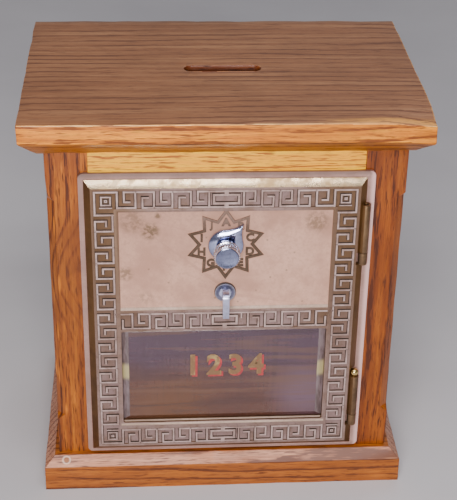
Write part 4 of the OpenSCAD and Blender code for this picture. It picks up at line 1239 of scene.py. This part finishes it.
def ridge(length, width, height):
    """One long ridge with a rounded back, lying along Z and standing out along X."""
    form = bmesh.new()
    section = [(-0.3 * height, -width / 2), (0.35 * height, -0.38 * width), (height, -0.12 * width),
               (height, 0.12 * width), (0.35 * height, 0.38 * width), (-0.3 * height, width / 2)]
    # The two end sections lie lower, so that the ridge runs out softly
    ends = [[form.verts.new((x - sunk * max(x, 0), y, z)) for x, y in section]
            for sunk, z in ((0.6, 0), (0, 0.1 * length), (0, 0.9 * length), (0.6, length))]
    for a, b in zip(ends, ends[1:]):
        for i in range(len(section)):
            j = (i + 1) % len(section)
            form.faces.new((a[i], a[j], b[j], b[i]))
    form.faces.new(ends[0])
    form.faces.new(ends[-1])
    bmesh.ops.recalc_face_normals(form, faces=form.faces)
    return as_mesh("ridge", form)


# %% The knob's barrel
RIDGES = 32
RIDGE_HEIGHT, RIDGE_LENGTH, RIDGE_SHARE = 0.6 * MM, 3.3 * MM, 0.80
NECK = 3.6 * MM
knob_r = (knob_high.x - knob_low.x) / 2
core_r = knob_r - RIDGE_HEIGHT
knob_front, knob_back = knob_low.y, knob_high.y
FRONT_PROFILE = [
    # mm out from the core's radius, mm back from the front
    (-1.5, 0.26), (-1.0, 0.06), (-0.6, 0.0), (-0.15, 0.25), (0.0, 0.7), (0.0, 1.0), (0.0, 4.4),
]
COLLAR_PROFILE = [
    # mm out from the knob's full radius, mm back from the front
    (-0.1, 4.6), (0.0, 4.9), (-0.1, 5.2),
]
profile = [(0, knob_front + 0.28 * MM)]
profile += [(core_r + out * MM, knob_front + back * MM) for out, back in FRONT_PROFILE]
profile += [(knob_r + out * MM, knob_front + back * MM) for out, back in COLLAR_PROFILE]
profile += [(core_r - 0.2 * MM, knob_front + 5.6 * MM), (core_r - 0.3 * MM, knob_back - 0.3 * MM),
            (core_r - 0.5 * MM, knob_back), (NECK, knob_back), (0, knob_back)]
knob_form = turned_form(profile, (door_x, dial_z))
print("knob's barrel:", len(knob_form.faces), "faces")

# %% The knob's ridges and finishes
# The ridges and collar take a paler chrome as a painted highlight, and the barrel between the ridges
# dark steel as painted shade
BARREL_CHROME, LIT_RIDGE_CHROME, SHADE_BETWEEN_RIDGES = range(3)
ridges_front, ridges_back, collar_back = (knob_front + back * MM for back in (0.9, 4.4, 5.3))
ring_of_copies = ring_tree()
# The blue in these chrome tints paints a reflection of sky
knob_chrome = bright_chrome("knob_chrome", (0.25, 0.28, 0.43), (0.16, 0.32))
lever_chrome = bright_chrome("lever_chrome", (0.58, 0.60, 0.80), (0.30, 0.44))
lit_ridge_chrome = bright_chrome("lit_ridge_chrome", (0.80, 0.82, 0.95))
ridge_mesh = ridge(RIDGE_LENGTH, 2 * math.pi * knob_r / RIDGES * RIDGE_SHARE, RIDGE_HEIGHT)
knurl = grown("knurl", ridge_mesh, ring_of_copies, Count=RIDGES, Radius=core_r,
              Centre=(door_x, knob_front + 4.35 * MM, dial_z), Finish=chrome)
for face in knurl.polygons:
    face.material_index = LIT_RIDGE_CHROME
knob_form.from_mesh(knurl)
knob_mesh = smooth_faces(as_mesh("knob", knob_form), 32)
for material in (knob_chrome, lit_ridge_chrome, dark_steel):
    knob_mesh.materials.append(material)
for face in knob_mesh.polygons:
    x, y, z = face.center
    if face.material_index == BARREL_CHROME and ridges_front < y < ridges_back:
        face.material_index = SHADE_BETWEEN_RIDGES
    elif face.material_index == BARREL_CHROME and y < collar_back and \
            math.hypot(x - door_x, z - dial_z) > core_r - 0.3 * MM:
        face.material_index = LIT_RIDGE_CHROME
shown("knurled_knob", knob_mesh, "dial", None, ["dial_knob"])
ys = [v.co.y for v in knurl.vertices]
print("knob:", RIDGES, "ridges,", len(knob_mesh.polygons), "faces, ridges from",
      round(min(ys) / MM, 2), "to", round(max(ys) / MM, 2), "mm")


# %% Outline of the pointer
POINTER_ANGLE = math.radians(36)
BODY, TIP, HOLLOW = 8.0 * MM, 13.6 * MM, 16.0 * MM    # body's radius, tip's reach, hollow's radius


def drop_outline(count=120):
    """The outline of the pointer: a round body that runs into a tip through two hollow sides."""
    reach = BODY + HOLLOW
    up = (reach * reach - HOLLOW * HOLLOW + TIP * TIP) / (2 * TIP)
    out = math.sqrt(reach * reach - up * up)
    root_angle = math.atan2(out, up)
    points = []
    arc = 2 * math.pi - 2 * root_angle
    for i in range(count):
        a = root_angle + arc * i / (count - 1)
        points.append((BODY * math.sin(a), BODY * math.cos(a)))
    steps = count // 5
    for side in (-1, 1):
        centre = Vector((side * out, up))
        root = centre * (BODY / reach)
        a0 = math.atan2(root.x - centre.x, root.y - centre.y)
        a1 = math.atan2(-centre.x, TIP - centre.y)
        turn = (a1 - a0 + math.pi) % (2 * math.pi) - math.pi
        for i in range(1, steps):
            t = i / steps if side < 0 else 1 - i / steps
            a = a0 + turn * t
            points.append((centre.x + HOLLOW * math.sin(a), centre.y + HOLLOW * math.cos(a)))
        if side < 0:
            points.append((0.0, TIP))
    return points


# %% The domed pointer
CROWN = 3.4 * MM       # radius where the dome meets the neck
CROWN_SHARE = 0.40
TIP_FALL = 0.35        # how much lower the dome is towards the tip
DOME = [
    # share of the outline, share of the height
    (1.0, 0.0), (1.0, 0.28), (0.97, 0.40), (0.90, 0.55), (0.78, 0.74), (0.62, 0.90), (0.46, 0.98),
    (CROWN_SHARE, 1.0),
]


def pointer_form():
    """Rings from the outline inwards that rise to a dome round the neck."""
    outline = drop_outline()
    back, front = pointer_high.y, pointer_low.y
    cos, sin = math.cos(POINTER_ANGLE), math.sin(POINTER_ANGLE)
    form = bmesh.new()
    rings = []
    for share, lift in DOME:
        ring = []
        for x, z in outline:
            length = math.hypot(x, z)
            beyond = max(0.0, length / BODY - 1)
            inner = min(length, CROWN)
            reach = inner + (length - inner) * max(0.0, (share - CROWN_SHARE) / (1 - CROWN_SHARE))
            height = lift * (1 - TIP_FALL * beyond * (1 - share))
            px, pz = x * reach / length, z * reach / length
            ring.append(form.verts.new((door_x + px * cos + pz * sin, back + (front - back) * height,
                                        dial_z + pz * cos - px * sin)))
        rings.append(ring)
    count = len(outline)
    for a, b in zip(rings, rings[1:]):
        for i in range(count):
            form.faces.new((a[i], a[(i + 1) % count], b[(i + 1) % count], b[i]))
    form.faces.new(rings[0])
    form.faces.new(rings[-1])
    bmesh.ops.recalc_face_normals(form, faces=form.faces)
    return form


pointer_mesh = smooth_faces(as_mesh("pointer", pointer_form()), 50)
shown("domed_pointer", pointer_mesh, "dial", chrome, ["dial_pointer"])
print("pointer:", len(pointer_mesh.polygons), "faces")

# %% Latch ring
RING_BORE, RING_HOLD, RING_RADIUS = 2.85 * MM, 3.9 * MM, 5.0 * MM
DARK_FROM = 4.6 * MM    # the ring's outer edge is dark from this radius
ring_front, ring_back = socket_low.y, socket_high.y
RING_PROFILE = [
    # radius in mm, mm back from the ring's front
    (2.85, 0.62), (3.2, 0.50), (3.9, 0.22), (4.4, 0.0), (4.7, 0.06), (5.0, 0.5),
]
profile = [(radius * MM, ring_front + back * MM) for radius, back in RING_PROFILE]
profile += [(RING_RADIUS, floor_y), (RING_HOLD, floor_y), (RING_HOLD, ring_back),
            (RING_BORE, ring_back), profile[0]]
socket_mesh = smooth_faces(as_mesh("latch_ring", turned_form(profile, (door_x, latch_z))), 40)
for material in (dull_chrome, dark_steel):
    socket_mesh.materials.append(material)
for face in socket_mesh.polygons:
    away = math.hypot(face.center.x - door_x, face.center.z - latch_z)
    face.material_index = 1 if away > DARK_FROM else 0
shown("latch_ring", socket_mesh, "door", None, ["latch_socket"])
print("latch ring:", len(socket_mesh.polygons), "faces")

# %% Latch handle
NOSE_LENGTH, NOSE_LIFT = 3.0 * MM, 1.7 * MM    # the handle's nose stands up over the ring
lever_form = clean_copy("latch_lever")
nose_y = min(v.co.y for v in lever_form.verts) + NOSE_LENGTH
for vert in lever_form.verts:
    if vert.co.y < nose_y and vert.co.z > latch_z - 0.5 * MM:
        vert.co.z += NOSE_LIFT
lever_mesh = soften("latch_handle", as_mesh("latch_handle", lever_form), 0.45 * MM, 3, 28)
smooth_faces(lever_mesh, 30)
shown("latch_handle", lever_mesh, "latch", lever_chrome, ["latch_lever"])
print("latch:", len(socket_mesh.polygons) + len(lever_mesh.polygons), "faces")

# %% [markdown]
# ## Frame, hinge pins and screws
#
# The frame's flange is thin, so its edge only needs a small round. The hinge pins turn in barrels
# cast on the frame and the door. Pins, screws and the works inside the lock have the right shape in
# the model already, so they keep their own meshes and only get their metals.

# %% Frame
BARREL_LEFT = 58.0 * MM                  # the hinge barrels are right of this
barrel_back = door_low.y + 3.2 * MM      # and in front of this
frame_mesh = soften("frame_casting", as_mesh("frame_casting", clean_copy("door_frame")), 0.5 * MM, 3, 30)
smooth_faces(frame_mesh, 35)
frame_mesh.materials.append(frame_paint)
frame_mesh.materials.append(hinge_bronze)
for face in frame_mesh.polygons:
    face.material_index = 1 if face.center.y < barrel_back and face.center.x > BARREL_LEFT else 0
shown("frame_casting", frame_mesh, "case", None, ["door_frame"])
print("frame:", len(frame_mesh.polygons), "faces")

# %% Small parts
FINISHES = [
    (works_brass, "back_screws frame_screws glass_retainer spindle_nut front_tumbler rear_tumbler "
                  "drive_wheel latch_cam latch_bolt case_screws fence_pivot"),
    (works_steel, "base_screws retainer_screws bolt_guide guide_screws fence_lever"),
    (dark_steel, "wheel_spacers lock_cover"),
    (hinge_bronze, "upper_hinge_pin"),
    (ball_brass, "lower_hinge_pin"),
    (frame_paint, "lock_case"),
    (rail_oak, "top_dowels"),
    (chrome, "dial_spindle"),
]
for material, nodes in FINISHES:
    for node in nodes.split():
        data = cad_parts[node].data
        data.materials.clear()
        data.materials.append(material)
print("small parts that keep their own mesh:", sum(len(nodes.split()) for _, nodes in FINISHES))

# %% [markdown]
# ## Fence spring
#
# A leaf of spring steel presses on the fence lever inside the lock. Its foot is held by the lock case
# and its tip moves with the lever, so it is the one part that bends. Level cuts give its sloped
# stretch more points.

# %% Fence spring
SPRING_CUTS = 8
SPRING_FOOT = 6.2 * MM    # height of the upright foot
SPRING_LIP = 1.7 * MM     # height of the lip above the tip
spring_low, spring_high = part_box("fence_spring")
slope_foot, slope_tip = spring_low.z + SPRING_FOOT, spring_high.z - SPRING_LIP
form = clean_copy("fence_spring")
for cut in range(SPRING_CUTS + 1):
    height = slope_foot + (slope_tip - slope_foot) * cut / SPRING_CUTS
    bmesh.ops.bisect_plane(form, geom=form.verts[:] + form.edges[:] + form.faces[:],
                           plane_co=(0, 0, height), plane_no=(0, 0, 1))
spring_mesh = as_mesh("fence_leaf", form)
spring_mesh.materials.append(works_steel)
fence_leaf = bpy.data.objects.new("fence_leaf", spring_mesh)
bpy.context.scene.collection.objects.link(fence_leaf)
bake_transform(fence_leaf)
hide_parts("fence_spring")
print("fence spring:", len(spring_mesh.vertices), "points")

# %% [markdown]
# ## Glass and its number
#
# The window is a bevelled pane. It looks violet and streaky at the top and brown lower down, where
# the wood inside shows through. The pane is a thick block with a sloped edge on the front, a clear
# tinted shader and fine upright streaks. The number is gold leaf with a red shade behind it, as sign
# painters do, and it is a plain run of digits.

# %% Glass finishes
glass_stand = 0.9 * MM    # how far the pane's middle stands out of its edge
glass_front = glass_low.y - glass_stand


def tinted_glass():
    """Dark glass: brown low down, violet at the top, with streaks and two paler patches.
    The violet is tint and painted reflection, and the paler violet patch low on the right is painted
    reflection.
    """
    finish = Finish("tinted_glass", Roughness=0.12, IOR=1.5, Transmission_Weight=0.35, Coat_Weight=0.6,
                    Coat_Roughness=0.08)
    height = finish.between(finish.axis("Z"), window_low, window_high)
    streak = finish.noise(finish.moved(size=(1400, 300, 22)), 1.0, 3.0, 0.6)
    level = finish.noise(finish.moved(size=(16, 300, 260)), 1.0, 4.0, 0.6)
    cloud = finish.noise(finish.place, 38.0, 4.0, 0.6)
    mixed = finish.math("MULTIPLY_ADD", cloud, 0.6, finish.math("MULTIPLY_ADD", height, 0.9, -0.25))
    tone = finish.ramp(mixed, (0.20, (0.15, 0.060, 0.042)), (0.45, (0.14, 0.062, 0.060)),
                       (0.75, (0.11, 0.060, 0.095)))
    tone = finish.mix(finish.between(streak, 0.42, 0.72, 0.0, 0.35), tone, (0.05, 0.026, 0.03))
    low_left = finish.away((window_left + 22 * MM, glass_front, window_low + 6 * MM))
    # The paler violet patch low on the right is a painted reflection
    reflection_patch = finish.away((window_right - 8 * MM, glass_front, window_low + 14 * MM))
    tone = finish.mix(finish.between(low_left, 6 * MM, 30 * MM, 0.55, 0.0), tone, (0.20, 0.085, 0.030))
    tone = finish.mix(finish.between(reflection_patch, 4 * MM, 24 * MM, 0.75, 0.0), tone, (0.21, 0.130, 0.190))
    tone = finish.mix(finish.between(level, 0.46, 0.66, 0.0, 0.55), tone, (0.21, 0.110, 0.070))
    tone = finish.mix(finish.between(level, 0.34, 0.46, 0.45, 0.0), tone, (0.07, 0.032, 0.034))
    finish.colour(tone)
    finish.rough(finish.between(streak, 0.3, 0.7, 0.08, 0.24))
    finish.bump(streak, 0.02 * MM, 0.35)
    return finish.material


def bevel_glass():
    """The sloped sides of the pane: paler as a painted reflection, with a painted yellow glint half way
    up.
    """
    finish = Finish("bevel_glass", Roughness=0.15, IOR=1.5, Coat_Weight=0.7, Coat_Roughness=0.08)
    middle = (window_low + window_high) / 2
    off = finish.math("ABSOLUTE", finish.math("SUBTRACT", finish.axis("Z"), middle + 2 * MM))
    wavy = finish.noise(finish.moved(size=(500, 500, 120)), 1.0, 3.0, 0.6)
    tone = finish.mix(finish.between(wavy, 0.35, 0.65), (0.22, 0.165, 0.175), (0.12, 0.085, 0.085))
    glint = finish.between(off, 2.5 * MM, 5.5 * MM, 0.85, 0.0)
    finish.colour(finish.mix(glint, tone, (0.50, 0.42, 0.20)))
    finish.rough(finish.between(wavy, 0.3, 0.7, 0.1, 0.25))
    finish.bump(wavy, 0.03 * MM, 0.4)
    return finish.material


# %% The pane
BEVEL_SIDE, BEVEL_LOW, BEVEL_HIGH = 3.2 * MM, 2.4 * MM, 1.6 * MM


def glass_form():
    """A pane with a sloped strip round the window that it shows through."""
    form = bmesh.new()
    front, back = glass_low.y, glass_high.y
    steps = [(glass_low.x, glass_high.x, glass_low.z, glass_high.z, back),
             (glass_low.x, glass_high.x, glass_low.z, glass_high.z, front),
             (window_left, window_right, window_low, window_high, front),
             (window_left + BEVEL_SIDE, window_right - BEVEL_SIDE, window_low + BEVEL_LOW,
              window_high - BEVEL_HIGH, glass_front)]
    rings = [[form.verts.new((x, y, z)) for x, z in ((x0, z0), (x1, z0), (x1, z1), (x0, z1))]
             for x0, x1, z0, z1, y in steps]
    for a, b in zip(rings, rings[1:]):
        for i in range(4):
            form.faces.new((a[i], a[(i + 1) % 4], b[(i + 1) % 4], b[i]))
    form.faces.new(rings[0])
    form.faces.new(rings[-1])
    bmesh.ops.recalc_face_normals(form, faces=form.faces)
    return form


glass_mesh = as_mesh("window_glass", glass_form())
glass_mesh.materials.append(tinted_glass())
glass_mesh.materials.append(bevel_glass())
for face in glass_mesh.polygons:
    face.material_index = 1 if 0.1 < abs(face.normal.x) < 0.9 else 0
shown("window_glass", glass_mesh, "door", None, ["glass_pane"])
print("glass front at", round(glass_front / MM, 2), "mm")

# %% Lip under the panel and sill under the window
def strip(form, x0, x1, profile):
    """A bar along X with a given outline of (y, z) points."""
    ends = [[form.verts.new((x, y, z)) for y, z in profile] for x in (x0, x1)]
    for i in range(len(profile)):
        j = (i + 1) % len(profile)
        form.faces.new((ends[0][i], ends[0][j], ends[1][j], ends[1][i]))
    form.faces.new(ends[0])
    form.faces.new(ends[1])


LIP = [
    # mm back from its plane, mm above the panel's lower edge
    (face_y, -0.05, 0.1), (face_y, -0.2, 0.5), (face_y, -0.1, 1.0),
    (floor_y, -0.1, 1.6), (floor_y, 0.2, 1.6), (floor_y, 0.2, 0.1),
]
SILL = [
    # mm back from the face, mm above the window's lower edge
    (face_y, -0.10, -1.7), (face_y, -0.25, -1.2), (face_y, -0.1, -0.6),
    (face_y, 1.6, 0.35), (face_y, 2.0, 0.35), (face_y, 0.6, -1.7),
]
sill = bmesh.new()
strip(sill, window_left, window_right,
      [(plane + back * MM, panel_low + up * MM) for plane, back, up in LIP])
strip(sill, window_left - 1.0 * MM, window_right + 1.0 * MM,
      [(plane + back * MM, window_low + up * MM) for plane, back, up in SILL])
bmesh.ops.recalc_face_normals(sill, faces=sill.faces)
sill_mesh = soften("panel_lip_and_sill", as_mesh("panel_lip_and_sill", sill), 0.12 * MM, 2)
smooth_faces(sill_mesh, 50)
sill_paint = old_paint("sill_paint", (0.56, 0.41, 0.32), (0.38, 0.26, 0.19))
shown("panel_lip_and_sill", sill_mesh, "door", sill_paint)
print("lip and sill:", len(sill_mesh.polygons), "faces")

# %% Gold number with its red shade
gold_leaf = aged_metal("gold_leaf", (0.50, 0.36, 0.15), (0.24, 0.14, 0.07), (0.42, 0.58), 420.0,
                       (0.35, 0.55), 0.35)
red_shade = Finish("red_shade", Roughness=0.45)
blot = red_shade.noise(red_shade.place, 700.0, 3.0, 0.6)
red_shade.colour(red_shade.ramp(blot, (0.35, (0.50, 0.045, 0.045)), (0.75, (0.24, 0.03, 0.04))))
red_shade.rough(red_shade.between(blot, 0.3, 0.7, 0.35, 0.6))
red_shade.bump(blot, 0.02 * MM, 0.4)


DIGITS = "1234"
DIGIT_HEIGHT, DIGIT_NARROW, LEAF = 11.8 * MM, 0.92, 0.05 * MM
FIRST_DIGIT, DIGIT_STEP = 45.8, 10.1    # mm right of the face's left edge
NUMBER_DROP = 95.8 * MM                 # below the top of the face


def digits(name, material, shift_x, shift_z, lift, bold):
    """The four digits side by side on the glass, moved by a shift and lifted off it."""
    form = bmesh.new()
    for i, sign in enumerate(DIGITS):
        mesh = letter_mesh(sign, DIGIT_HEIGHT, LEAF, bold)
        for vert in mesh.vertices:
            vert.co.x *= DIGIT_NARROW
        x = face_left + (FIRST_DIGIT + DIGIT_STEP * i) * MM + shift_x
        mesh.transform(Matrix.Translation((x, glass_front - lift, face_high - NUMBER_DROP + shift_z)))
        form.from_mesh(mesh)
    bmesh.ops.remove_doubles(form, verts=form.verts, dist=1e-7)
    bmesh.ops.recalc_face_normals(form, faces=form.faces)
    shown(name, as_mesh(name, form), "door", material)


digits("number_shade", red_shade.material, 0.9 * MM, -0.9 * MM, 0.04 * MM, 0.045)
digits("number_gold", gold_leaf, 0.0, 0.0, 0.12 * MM, 0.03)
print("number:", DIGITS)
